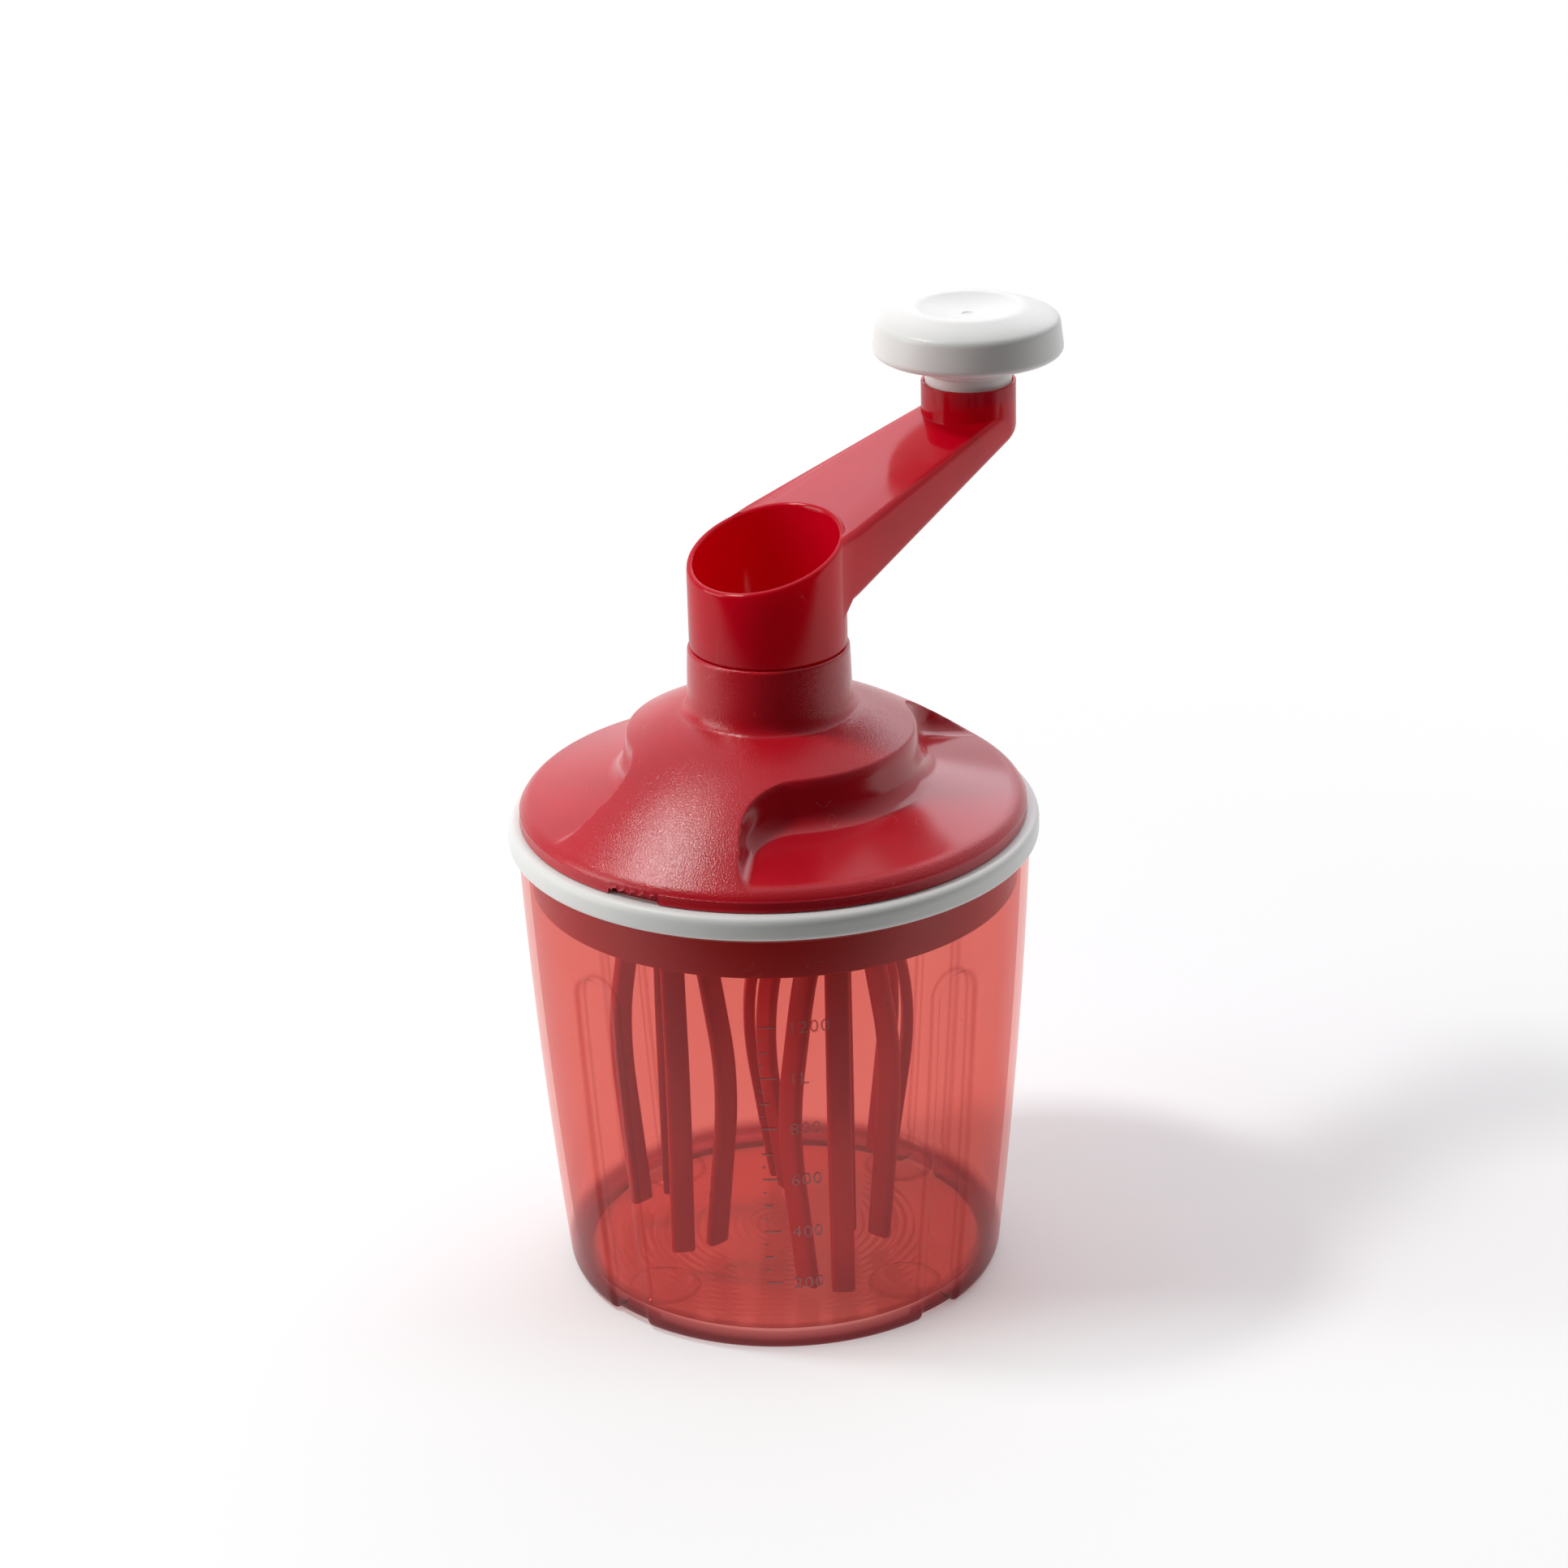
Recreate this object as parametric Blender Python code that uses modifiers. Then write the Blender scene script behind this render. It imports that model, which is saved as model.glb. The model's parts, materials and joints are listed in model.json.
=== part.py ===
"""Hand crank mixer: a clear bowl, a domed cover, a funnel crank and three geared paddle whisks.

Metres, +Z up. The bowl stands on z = 0 and the crank arm points along +X. The origin lies on the
table under the middle of the whole outline, so the bowl's own axis is at x = AXIS_X.
"""
import math

import bmesh
import bpy
from mathutils import Matrix, Vector

# Clearances shared by all pieces
SEAT_GAP = 0.0003
RUNNING_GAP = 0.0004
OVERCUT = 0.006
WELD = 0.00001

# Facets round a full turn
FINE_TURN = 32
MID_TURN = 24
SMALL_TURN = 12

# Bowl
BOWL_HEIGHT = 0.1310
BOWL_RIM_RADIUS = 0.0695
BOWL_BASE_RADIUS = 0.0603
BOWL_BULGE = 0.0012
BOWL_WALL = 0.0021
BOWL_FLOOR = 0.0026
FOOT_INSET = 0.0025
FOOT_WIDTH = 0.0030
FOOT_HEIGHT = 0.0022
FOOT_EDGE = 0.0030
WALL_STATIONS = 5

# Flutes pressed into the bowl wall, foot notches and floor domes below them
FLUTE_COUNT = 4
FLUTE_FIRST_ANGLE = math.radians(-95.8)
FLUTE_WIDTH = 0.0135
FLUTE_TOP_DROP = 0.0250
FLUTE_DEPTH = 0.0010
FLUTE_COVER = 0.0010
NOTCH_WIDTH = 0.0130
NOTCH_HEIGHT = 0.0020
FLOOR_DOME_INSET = 0.0135
FLOOR_DOME_RADIUS = 0.0095
FLOOR_DOME_HEIGHT = 0.0020

# Seal ring between bowl and cover, its skirt hanging outside the bowl's rim
SEAL_SKIRT = 0.0020
SEAL_SKIRT_DROP = 0.0038
SEAL_WEB = 0.0023
SEAL_EDGE = 0.0012
SEAL_LIP_DROP = 0.0065

# Cover: rim, dome, neck and the sleeve under the neck
COVER_WALL = 0.0022
COVER_INSET = 0.0009
COVER_SKIRT = 0.0030
COVER_EDGE = 0.0030
DOME_RIM_RISE = 0.0082
DOME_RISE = 0.0243
DOME_POWER = 1.4
DOME_STATIONS = 5
NECK_WALL = 0.0018
NECK_LENGTH = 0.0176
NECK_FLARE = 0.0008
NECK_FILLET = 0.0018
SLEEVE_DROP = 0.0115
SLEEVE_STEP = 0.0004

# Two scooped grip wells in the dome
WELL_COUNT = 2
WELL_MIDDLE_ANGLE = math.radians(-83.0)
WELL_SWEEP = math.radians(132.0)
WELL_STEPS = 13
WELL_INNER_RADIUS = 0.0400
WELL_DRAFT = 0.0034
WELL_RIM_WIDTH = 0.0034
WELL_FLOOR_RISE = 0.0144
WELL_FLOOR_FALL = 0.0060
WELL_CORNER = 0.0080
WELL_FILLET = 0.0050

# Pry notch in the cover skirt
PRY_ANGLE = math.radians(-172.5)
PRY_WIDTH = 0.0155
PRY_HEIGHT = 0.0023

# Gear train
GEAR_MODULE = 0.0010
DRIVE_TEETH = 39
PINION_TEETH = 21
GEAR_FACE = 0.0080
PRESSURE_ANGLE = math.radians(20.0)
BACKLASH = 0.00012
WHISK_COUNT = 3
WHISK_FIRST_ANGLE = math.radians(12.5)
WHISK_TURNS = (-30.0, 63.0, 20.0)

# Gear case plugged into the seal ring under the cover
CASE_SKIRT_DROP = 0.0170
CASE_SKIRT_RISE = 0.0054
CASE_SKIRT_WALL = 0.0018
CASE_FLOOR_RISE = 0.0020
CASE_FLOOR = 0.0024
CASE_PLUG_GAP = 0.0008
GEAR_FLOOR_GAP = 0.0026
PLATE_GEAR_GAP = 0.0025
PLATE_THICKNESS = 0.0022
PLATE_MARGIN = 0.0025
POST_INSET = 0.0045
POST_RADIUS = 0.0035
BOSS_INSET = 0.0081
BOSS_RADIUS = 0.0040
BOSS_STEP = 0.0008
BOSS_COUNT = 4
BOSS_FIRST_ANGLE = math.radians(7.0)
SCREW_RADIUS = 0.00125
SCREW_HEAD_RADIUS = 0.0030
SCREW_HEAD_HEIGHT = 0.0014
SCREW_GRIP = 0.0085

# Crank tube, its gear seat, retaining ring and bush
GEAR_RIM = 0.00265
GEAR_LIP = 0.0007
GEAR_LIP_HEIGHT = 0.0011
GEAR_KEY_WIDTH = 0.0030
GEAR_KEY_DEPTH = 0.0010
TUBE_STEP = 0.0014
TUBE_WALL = 0.0034
GROOVE_DEPTH = 0.0011
RING_THICKNESS = 0.0016
RING_WIDTH = 0.0043
RING_OPENING = 0.0060
BUSH_WALL = 0.0022
BUSH_FLANGE = 0.0022

# Funnel hub and drip pipe; heights are above the hub's lower end
HUB_INSET = 0.0006
HUB_WALL = 0.0018
HUB_EDGE = 0.0005
RIM_MIDDLE_RISE = 0.0265
RIM_SLANT = 0.0065
CONE_RISE = 0.0026
CONE_DEPTH = 0.0160
DRIP_BORE = 0.0050
DRIP_WALL = 0.0015
DRIP_REACH = 0.0080
DRIP_SEAL_WIDTH = 0.0022

# Crank arm; heights are above the hub's lower end
ARM_REACH = 0.0890
ARM_ROOT_HALF_WIDTH = 0.0195
ARM_ROOT_TOP_RISE = 0.0306
ARM_TIP_TOP_RISE = 0.0426
ARM_ROOT_BOTTOM_RISE = 0.0122
ARM_TIP_BOTTOM_RISE = 0.0331
ARM_ROOT_REACH = 0.0150
GUSSET_REACH = 0.0105
GUSSET_DROP = 0.0045
ARM_EDGE = 0.0020
ARM_WALL = 0.0024
ARM_BOSS_RADIUS = 0.0132
ARM_BOSS_RISE = 0.0073
ARM_BOSS_RECESS = 0.0043

# Knob above the arm's boss
KNOB_RADIUS = 0.0265
KNOB_DRAFT = 0.0009
KNOB_LIFT = 0.0074
KNOB_SOLE = 0.0013
KNOB_BAND = 0.0088
KNOB_CROWN = 0.0040
KNOB_EDGE = 0.0006
KNOB_DISH_RADIUS = 0.0151
KNOB_DISH_DEPTH = 0.0026
KNOB_CROWN_WALL = 0.0050
KNOB_COLLAR_LIFT = 0.0033
KNOB_COLLAR_LEDGE = 0.0001
KNOB_NECK_WALL = 0.0008
PIN_RADIUS = 0.0035
PIN_DEPTH = 0.0065
WASHER_WIDTH = 0.0042
WASHER_THICKNESS = 0.0007

# Spindles and their shaft seals
SPINDLE_RADIUS = 0.0035
SPINDLE_FLANGE_LEDGE = 0.0015
SPINDLE_FLANGE = 0.0010
SPINDLE_HEX_LEDGE = 0.0007
SPINDLE_TAIL_STEP = 0.0001
SPINDLE_TAIL_LENGTH = 0.0075
SPINDLE_JOURNAL_STEP = 0.0005
SEAL_WASHER_WIDTH = 0.0025
SEAL_WASHER_THICKNESS = 0.0012
SEAL_BOSS_WALL = 0.0012

# Whisks
WHISK_HUB_RADIUS = 0.0098
WHISK_HUB_LENGTH = 0.0095
WHISK_HUB_EDGE = 0.0010
WHISK_HUB_GAP = 0.0010
TINE_PAIR_HALF_ANGLE = math.radians(18.0)
TINE_WIDTH = 0.0066
TINE_THICKNESS = 0.0034
TINE_ROOT_RADIUS = 0.0075
TINE_ROOT_DROP = 0.0050
TINE_SHOULDER_RADIUS = 0.0146
TINE_SHOULDER_DROP = 0.0090
TINE_KNEE_RISE = 0.0520
TINE_TIP_RADIUS = 0.0165
TINE_TIP_GAP = 0.0012
TINE_BEND = 0.35
TINE_BEND_STEPS = 2

# Colours, roughness and metal share of each finish
CLEAR_RED = ((0.62, 0.05, 0.045, 1.0), 0.12, 0.0)
COVER_RED = ((0.45, 0.012, 0.022, 1.0), 0.42, 0.0)
GLOSS_RED = ((0.55, 0.006, 0.014, 1.0), 0.18, 0.0)
DARK_RED = ((0.28, 0.010, 0.018, 1.0), 0.35, 0.0)
OFF_WHITE = ((0.78, 0.79, 0.76, 1.0), 0.50, 0.0)
GEAR_WHITE = ((0.70, 0.70, 0.66, 1.0), 0.45, 0.0)
RUBBER_GREY = ((0.10, 0.10, 0.10, 1.0), 0.70, 0.0)
STEEL = ((0.62, 0.62, 0.64, 1.0), 0.30, 1.0)


def bowl_radius(height):
    """Outer radius of the gently bulging bowl wall at a height."""
    share = height / BOWL_HEIGHT
    straight = BOWL_BASE_RADIUS + (BOWL_RIM_RADIUS - BOWL_BASE_RADIUS) * share
    return straight + BOWL_BULGE * 4 * share * (1 - share)


# Bowl, seal ring and cover rim, which follow from the bowl's rim
FOOT_RADIUS = BOWL_BASE_RADIUS - FOOT_INSET
INSIDE_FLOOR = FOOT_HEIGHT + BOWL_FLOOR
FLUTE_TOP = BOWL_HEIGHT - FLUTE_TOP_DROP
FLOOR_DOME_REACH = BOWL_BASE_RADIUS - FLOOR_DOME_INSET
SEAL_RADIUS = BOWL_RIM_RADIUS + SEAT_GAP + SEAL_SKIRT
SEAL_BOTTOM = BOWL_HEIGHT - SEAL_SKIRT_DROP
COVER_BOTTOM = BOWL_HEIGHT + SEAT_GAP + SEAL_WEB + SEAT_GAP
COVER_RADIUS = BOWL_RIM_RADIUS - COVER_INSET
DOME_RIM_RADIUS = COVER_RADIUS - COVER_EDGE * 0.9
DOME_RIM_HEIGHT = BOWL_HEIGHT + DOME_RIM_RISE
WELL_RIM_RADIUS = COVER_RADIUS - WELL_RIM_WIDTH
WELL_FLOOR_HEIGHT = BOWL_HEIGHT + WELL_FLOOR_RISE

# Radii that follow from the gears outward
DRIVE_RADIUS = GEAR_MODULE * DRIVE_TEETH / 2
PINION_RADIUS = GEAR_MODULE * PINION_TEETH / 2
WHISK_REACH = DRIVE_RADIUS + PINION_RADIUS
GEAR_SEAT_RADIUS = DRIVE_RADIUS - 1.25 * GEAR_MODULE - GEAR_RIM
TUBE_RADIUS = GEAR_SEAT_RADIUS + TUBE_STEP
NECK_BORE = TUBE_RADIUS + RUNNING_GAP + BUSH_WALL + SEAT_GAP
NECK_RADIUS = NECK_BORE + NECK_WALL
NECK_FOOT_RADIUS = NECK_RADIUS + NECK_FLARE
SLEEVE_RADIUS = NECK_RADIUS + SLEEVE_STEP
HUB_RADIUS = NECK_RADIUS - HUB_INSET
FUNNEL_RADIUS = HUB_RADIUS - HUB_WALL

# Heights of the cover, the crank tube and the arm
NECK_FOOT_HEIGHT = DOME_RIM_HEIGHT + DOME_RISE
NECK_TOP = NECK_FOOT_HEIGHT + NECK_LENGTH
NECK_SLEEVE_BOTTOM = NECK_FOOT_HEIGHT - SLEEVE_DROP
BUSH_FLANGE_TOP = NECK_SLEEVE_BOTTOM - SEAT_GAP
BUSH_BOTTOM = BUSH_FLANGE_TOP - BUSH_FLANGE
RING_TOP = BUSH_BOTTOM - SEAT_GAP
HUB_BOTTOM = NECK_TOP + SEAT_GAP
RIM_MIDDLE_HEIGHT = HUB_BOTTOM + RIM_MIDDLE_RISE
FUNNEL_CONE_TOP = HUB_BOTTOM + CONE_RISE
FUNNEL_CONE_BOTTOM = FUNNEL_CONE_TOP - CONE_DEPTH
ARM_ROOT_TOP = HUB_BOTTOM + ARM_ROOT_TOP_RISE
ARM_TIP_TOP = HUB_BOTTOM + ARM_TIP_TOP_RISE
ARM_ROOT_BOTTOM = HUB_BOTTOM + ARM_ROOT_BOTTOM_RISE
ARM_TIP_BOTTOM = HUB_BOTTOM + ARM_TIP_BOTTOM_RISE
ARM_BOSS_TOP = ARM_TIP_TOP + ARM_BOSS_RISE
BOSS_FLOOR = ARM_BOSS_TOP - ARM_BOSS_RECESS

# Knob, its pin and its washer
KNOB_BOTTOM = ARM_BOSS_TOP + KNOB_LIFT
KNOB_BAND_BOTTOM = KNOB_BOTTOM + KNOB_SOLE
KNOB_BAND_TOP = KNOB_BAND_BOTTOM + KNOB_BAND
KNOB_TOP = KNOB_BAND_TOP + KNOB_CROWN
KNOB_BAND_TOP_RADIUS = KNOB_RADIUS - KNOB_DRAFT
KNOB_COLLAR_RADIUS = ARM_BOSS_RADIUS + KNOB_COLLAR_LEDGE
KNOB_COLLAR_BOTTOM = ARM_BOSS_TOP + KNOB_COLLAR_LIFT
KNOB_NECK_RADIUS = ARM_BOSS_RADIUS - KNOB_NECK_WALL - SEAT_GAP
KNOB_NECK_BOTTOM = BOSS_FLOOR + 2 * SEAT_GAP + WASHER_THICKNESS
PIN_TOP = KNOB_TOP - KNOB_DISH_DEPTH - KNOB_CROWN_WALL
PIN_BOTTOM = BOSS_FLOOR - PIN_DEPTH

# Gear case, bearing plate and gears, which hang from the bowl's rim
CASE_SKIRT_TOP = BOWL_HEIGHT + CASE_SKIRT_RISE
CASE_SKIRT_BOTTOM = BOWL_HEIGHT - CASE_SKIRT_DROP
CASE_FLOOR_BOTTOM = CASE_SKIRT_BOTTOM + CASE_FLOOR_RISE
CASE_FLOOR_TOP = CASE_FLOOR_BOTTOM + CASE_FLOOR
GEAR_BOTTOM = CASE_FLOOR_TOP + GEAR_FLOOR_GAP
GEAR_TOP = GEAR_BOTTOM + GEAR_FACE
PLATE_BOTTOM = GEAR_TOP + PLATE_GEAR_GAP
PLATE_TOP = PLATE_BOTTOM + PLATE_THICKNESS
DRIP_BOTTOM = CASE_FLOOR_BOTTOM - DRIP_REACH
PLUG_RADIUS = bowl_radius(CASE_SKIRT_BOTTOM) - BOWL_WALL - CASE_PLUG_GAP
BOSS_REACH = PLUG_RADIUS - CASE_SKIRT_WALL - BOSS_INSET
PLATE_RADIUS = BOSS_REACH - BOSS_RADIUS - PLATE_MARGIN
POST_REACH = PLATE_RADIUS - POST_INSET

# Spindles and whisks
SPINDLE_FLANGE_BOTTOM = GEAR_BOTTOM - SPINDLE_FLANGE - SEAT_GAP
SPINDLE_FLANGE_RADIUS = SPINDLE_RADIUS + SPINDLE_FLANGE_LEDGE
SPINDLE_HEX_RADIUS = SPINDLE_RADIUS + SPINDLE_HEX_LEDGE
SPINDLE_TAIL_RADIUS = SPINDLE_RADIUS - SPINDLE_TAIL_STEP
SPINDLE_TAIL_BOTTOM = CASE_FLOOR_BOTTOM - SPINDLE_TAIL_LENGTH
SPINDLE_JOURNAL_RADIUS = SPINDLE_RADIUS - SPINDLE_JOURNAL_STEP
SEAL_WASHER_RADIUS = SPINDLE_RADIUS + SEAL_WASHER_WIDTH
WHISK_HUB_TOP = CASE_FLOOR_BOTTOM - WHISK_HUB_GAP
WHISK_HUB_BOTTOM = WHISK_HUB_TOP - WHISK_HUB_LENGTH
TINE_ROOT_HEIGHT = WHISK_HUB_TOP - TINE_ROOT_DROP
TINE_TIP_HEIGHT = INSIDE_FLOOR + FLOOR_DOME_HEIGHT + TINE_TIP_GAP
TINE_KNEE_HEIGHT = TINE_TIP_HEIGHT + TINE_KNEE_RISE
TINE_KNEE_RADIUS = WHISK_REACH * math.sin(math.pi / WHISK_COUNT) - TINE_THICKNESS / 2 - SEAT_GAP

# The origin lies under the middle of the outline from the seal ring to the knob
AXIS_X = -(ARM_REACH + KNOB_RADIUS - SEAL_RADIUS) / 2


def dome_height(radius):
    """Height of the cover's outer face at a radius between neck and rim."""
    share = max(0.0, (radius - NECK_FOOT_RADIUS) / (DOME_RIM_RADIUS - NECK_FOOT_RADIUS))
    return NECK_FOOT_HEIGHT - DOME_RISE * share ** DOME_POWER


def well_floor(radius):
    """Height of a grip well's floor, falling from its inner wall to the rim."""
    share = (radius - WELL_INNER_RADIUS) / (WELL_RIM_RADIUS - WELL_INNER_RADIUS)
    return WELL_FLOOR_HEIGHT - WELL_FLOOR_FALL * share


def arc(centre_x, centre_z, radius, start, end, steps):
    """Points of an arc in a turned profile, angles in degrees from +X toward +Z."""
    points = []
    for step in range(steps + 1):
        angle = math.radians(start + (end - start) * step / steps)
        points.append((centre_x + radius * math.cos(angle), centre_z + radius * math.sin(angle)))
    return points


def polar(radius, angle, height=0.0):
    """World point at a distance and direction from the bowl's axis."""
    return Vector((AXIS_X + radius * math.cos(angle), radius * math.sin(angle), height))


def clear_scene():
    for old in list(bpy.data.objects):
        bpy.data.objects.remove(old, do_unlink=True)
    for old in list(bpy.data.collections):
        bpy.data.collections.remove(old)


def make_collection(name):
    collection = bpy.data.collections.new(name)
    bpy.context.scene.collection.children.link(collection)
    return collection


def make_material(name, finish):
    colour, roughness, metallic = finish
    material = bpy.data.materials.new(name)
    material.use_nodes = True
    shader = material.node_tree.nodes["Principled BSDF"]
    shader.inputs["Base Color"].default_value = colour
    shader.inputs["Roughness"].default_value = roughness
    shader.inputs["Metallic"].default_value = metallic
    material.diffuse_color = colour
    return material


def place(obj, collection, finish=None):
    """Link an object, as a finished piece when it has a finish and else as a cutter."""
    collection.objects.link(obj)
    if finish:
        obj.data.materials.append(make_material(obj.name, finish))
    else:
        obj.hide_render = True
        obj.display_type = "WIRE"
    return obj


def mesh_object(name, build):
    """Make an object from a bmesh filled by the build function."""
    mesh = bpy.data.meshes.new(name)
    work = bmesh.new()
    build(work)
    bmesh.ops.recalc_face_normals(work, faces=work.faces[:])
    work.to_mesh(mesh)
    work.free()
    return bpy.data.objects.new(name, mesh)


def turned(name, profile, steps, at, on_axis=False):
    """Turn a profile of (radius, height) points about a vertical axis through a point."""
    mesh = bpy.data.meshes.new(name)
    edges = [(index, index + 1) for index in range(len(profile) - 1)]
    if not on_axis:
        edges.append((len(profile) - 1, 0))
    mesh.from_pydata([(radius, 0.0, height) for radius, height in profile], edges, [])
    obj = bpy.data.objects.new(name, mesh)
    obj.location = at
    screw = obj.modifiers.new("turn", "SCREW")
    screw.steps = steps
    screw.render_steps = steps
    screw.use_merge_vertices = True
    screw.merge_threshold = WELD
    screw.use_smooth_shade = True
    return obj


def cylinder(name, radius, bottom, top, at, sides=SMALL_TURN, turn=0.0):
    """Upright cylinder or prism between two heights, its first corner at a turn from +X."""
    def build(work):
        bmesh.ops.create_cone(work, cap_ends=True, segments=sides, radius1=radius,
                              radius2=radius, depth=top - bottom)
        bmesh.ops.translate(work, verts=work.verts, vec=(0, 0, (bottom + top) / 2))
        bmesh.ops.rotate(work, verts=work.verts,
                         matrix=Matrix.Rotation(turn - math.pi / 2, 3, "Z"))
    obj = mesh_object(name, build)
    obj.location = at
    return obj


def box(name, size, centre, turn=0.0, at=(0, 0, 0)):
    """Box of a size round a centre, turned about the vertical through a point."""
    def build(work):
        bmesh.ops.create_cube(work, size=1.0)
        bmesh.ops.scale(work, verts=work.verts, vec=size)
        bmesh.ops.translate(work, verts=work.verts, vec=centre)
        bmesh.ops.rotate(work, verts=work.verts, matrix=Matrix.Rotation(turn, 3, "Z"))
    obj = mesh_object(name, build)
    obj.location = at
    return obj


def outline_object(name, loops, depth):
    """Flat outline, with any holes, filled and extruded to a depth along its own Z."""
    curve = bpy.data.curves.new(name, "CURVE")
    curve.dimensions = "2D"
    curve.fill_mode = "BOTH"
    curve.extrude = depth / 2
    for loop in loops:
        spline = curve.splines.new("POLY")
        spline.points.add(len(loop) - 1)
        for point, (x, y) in zip(spline.points, loop):
            point.co = (x, y, 0, 1)
        spline.use_cyclic_u = True
    return curve_to_mesh(bpy.data.objects.new(name, curve))


def curve_to_mesh(source):
    """Replace a curve object by a mesh object with welded caps."""
    name = source.name
    source.name = name + "_curve"
    bpy.context.scene.collection.objects.link(source)
    bpy.context.view_layer.update()
    graph = bpy.context.evaluated_depsgraph_get()
    mesh = bpy.data.meshes.new_from_object(source.evaluated_get(graph))
    work = bmesh.new()
    work.from_mesh(mesh)
    bmesh.ops.remove_doubles(work, verts=work.verts, dist=WELD)
    bmesh.ops.recalc_face_normals(work, faces=work.faces[:])
    work.to_mesh(mesh)
    work.free()
    obj = bpy.data.objects.new(name, mesh)
    obj.matrix_world = source.matrix_world
    bpy.data.objects.remove(source)
    return obj


def combine(target, tool, operation, cutters):
    """Add a Boolean of a tool, which goes to the cutters' collection."""
    if tool.name not in cutters.objects:
        place(tool, cutters)
    boolean = target.modifiers.new(tool.name, "BOOLEAN")
    boolean.operation = operation
    boolean.solver = "EXACT"
    boolean.object = tool
    return target


def bevel(obj, width, segments, angle=40.0):
    rounding = obj.modifiers.new("edges", "BEVEL")
    rounding.width = width
    rounding.segments = segments
    rounding.limit_method = "ANGLE"
    rounding.angle_limit = math.radians(angle)
    return obj


def stadium(width, bottom, top, steps=6):
    """Outline of a strip with a round top, as (sideways, height) points."""
    half = width / 2
    points = [(-half, bottom), (half, bottom)]
    return points + arc(0, top - half, half, 0, 180, steps)


def wall_panel(name, width, top, bottom, angle, middle, thickness):
    """Slab with a round top that leans with the bowl wall, centred on a radius at mid height."""
    lean = math.atan2(bowl_radius(top) - bowl_radius(bottom), top - bottom)
    half_height = (top - bottom) / 2
    slab = outline_object(name, [stadium(width, -half_height, half_height)], thickness)
    upright = Matrix.Rotation(math.radians(90), 4, "Z") @ Matrix.Rotation(math.radians(90), 4, "X")
    tilt = Matrix.Rotation(lean, 4, "Y")
    turn = Matrix.Rotation(angle, 4, "Z")
    shift = Matrix.Translation((middle, 0, (top + bottom) / 2))
    slab.matrix_world = Matrix.Translation((AXIS_X, 0, 0)) @ turn @ shift @ tilt @ upright
    return slab


def make_bowl(parts, cutters):
    heights = [BOWL_HEIGHT - (BOWL_HEIGHT - FOOT_EDGE) * step / (WALL_STATIONS - 1)
               for step in range(WALL_STATIONS)]
    outer = [(bowl_radius(height), height) for height in heights]
    inner = [(bowl_radius(height) - BOWL_WALL, height) for height in heights
             if height > INSIDE_FLOOR + FOOT_EDGE]
    inner_foot = bowl_radius(INSIDE_FLOOR) - BOWL_WALL
    profile = [(0.0, INSIDE_FLOOR), (inner_foot - FOOT_EDGE, INSIDE_FLOOR),
               (inner_foot - FOOT_EDGE * 0.3, INSIDE_FLOOR + FOOT_EDGE * 0.3),
               (inner_foot, INSIDE_FLOOR + FOOT_EDGE)]
    profile += inner[::-1]
    profile += outer
    profile += [(bowl_radius(FOOT_EDGE) - FOOT_EDGE * 0.25, FOOT_EDGE * 0.3), (FOOT_RADIUS, 0.0),
                (FOOT_RADIUS - FOOT_WIDTH, 0.0), (FOOT_RADIUS - FOOT_WIDTH, FOOT_HEIGHT),
                (0.0, FOOT_HEIGHT)]
    bowl = turned("bowl", profile, FINE_TURN, (AXIS_X, 0, 0), on_axis=True)
    place(bowl, parts, CLEAR_RED)

    panel_bottom = -OVERCUT
    backing_bottom = INSIDE_FLOOR - BOWL_FLOOR / 2
    backing_depth = FLUTE_DEPTH + BOWL_WALL - FLUTE_COVER
    for number in range(FLUTE_COUNT):
        angle = FLUTE_FIRST_ANGLE + 2 * math.pi * number / FLUTE_COUNT
        tag = str(number + 1)
        middle = (bowl_radius(FLUTE_TOP) + bowl_radius(panel_bottom)) / 2
        inside_middle = (bowl_radius(FLUTE_TOP) + bowl_radius(backing_bottom)) / 2
        backing = wall_panel("flute_backing_" + tag, FLUTE_WIDTH + 2 * BOWL_WALL,
                             FLUTE_TOP + BOWL_WALL, backing_bottom, angle,
                             inside_middle - FLUTE_COVER - backing_depth / 2, backing_depth)
        combine(bowl, backing, "UNION", cutters)
        dome = floor_dome("floor_dome_" + tag, angle)
        combine(bowl, dome, "UNION", cutters)
        groove = wall_panel("flute_cut_" + tag, FLUTE_WIDTH, FLUTE_TOP, panel_bottom, angle,
                            middle - FLUTE_DEPTH + OVERCUT / 2, OVERCUT)
        combine(bowl, groove, "DIFFERENCE", cutters)
        notch = box("foot_notch_" + tag, (FOOT_RADIUS / 4, NOTCH_WIDTH, 2 * NOTCH_HEIGHT),
                    (FOOT_RADIUS, 0, 0), angle, (AXIS_X, 0, 0))
        combine(bowl, notch, "DIFFERENCE", cutters)
    return bowl


def floor_dome(name, angle):
    """Low dome on the bowl floor: the cap of a flattened sphere sunk half way."""
    def build(work):
        bmesh.ops.create_uvsphere(work, u_segments=12, v_segments=6, radius=1.0)
        bmesh.ops.scale(work, verts=work.verts,
                        vec=(FLOOR_DOME_RADIUS, FLOOR_DOME_RADIUS, FLOOR_DOME_HEIGHT))
    dome = mesh_object(name, build)
    dome.location = polar(FLOOR_DOME_REACH, angle, INSIDE_FLOOR)
    return dome


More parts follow.
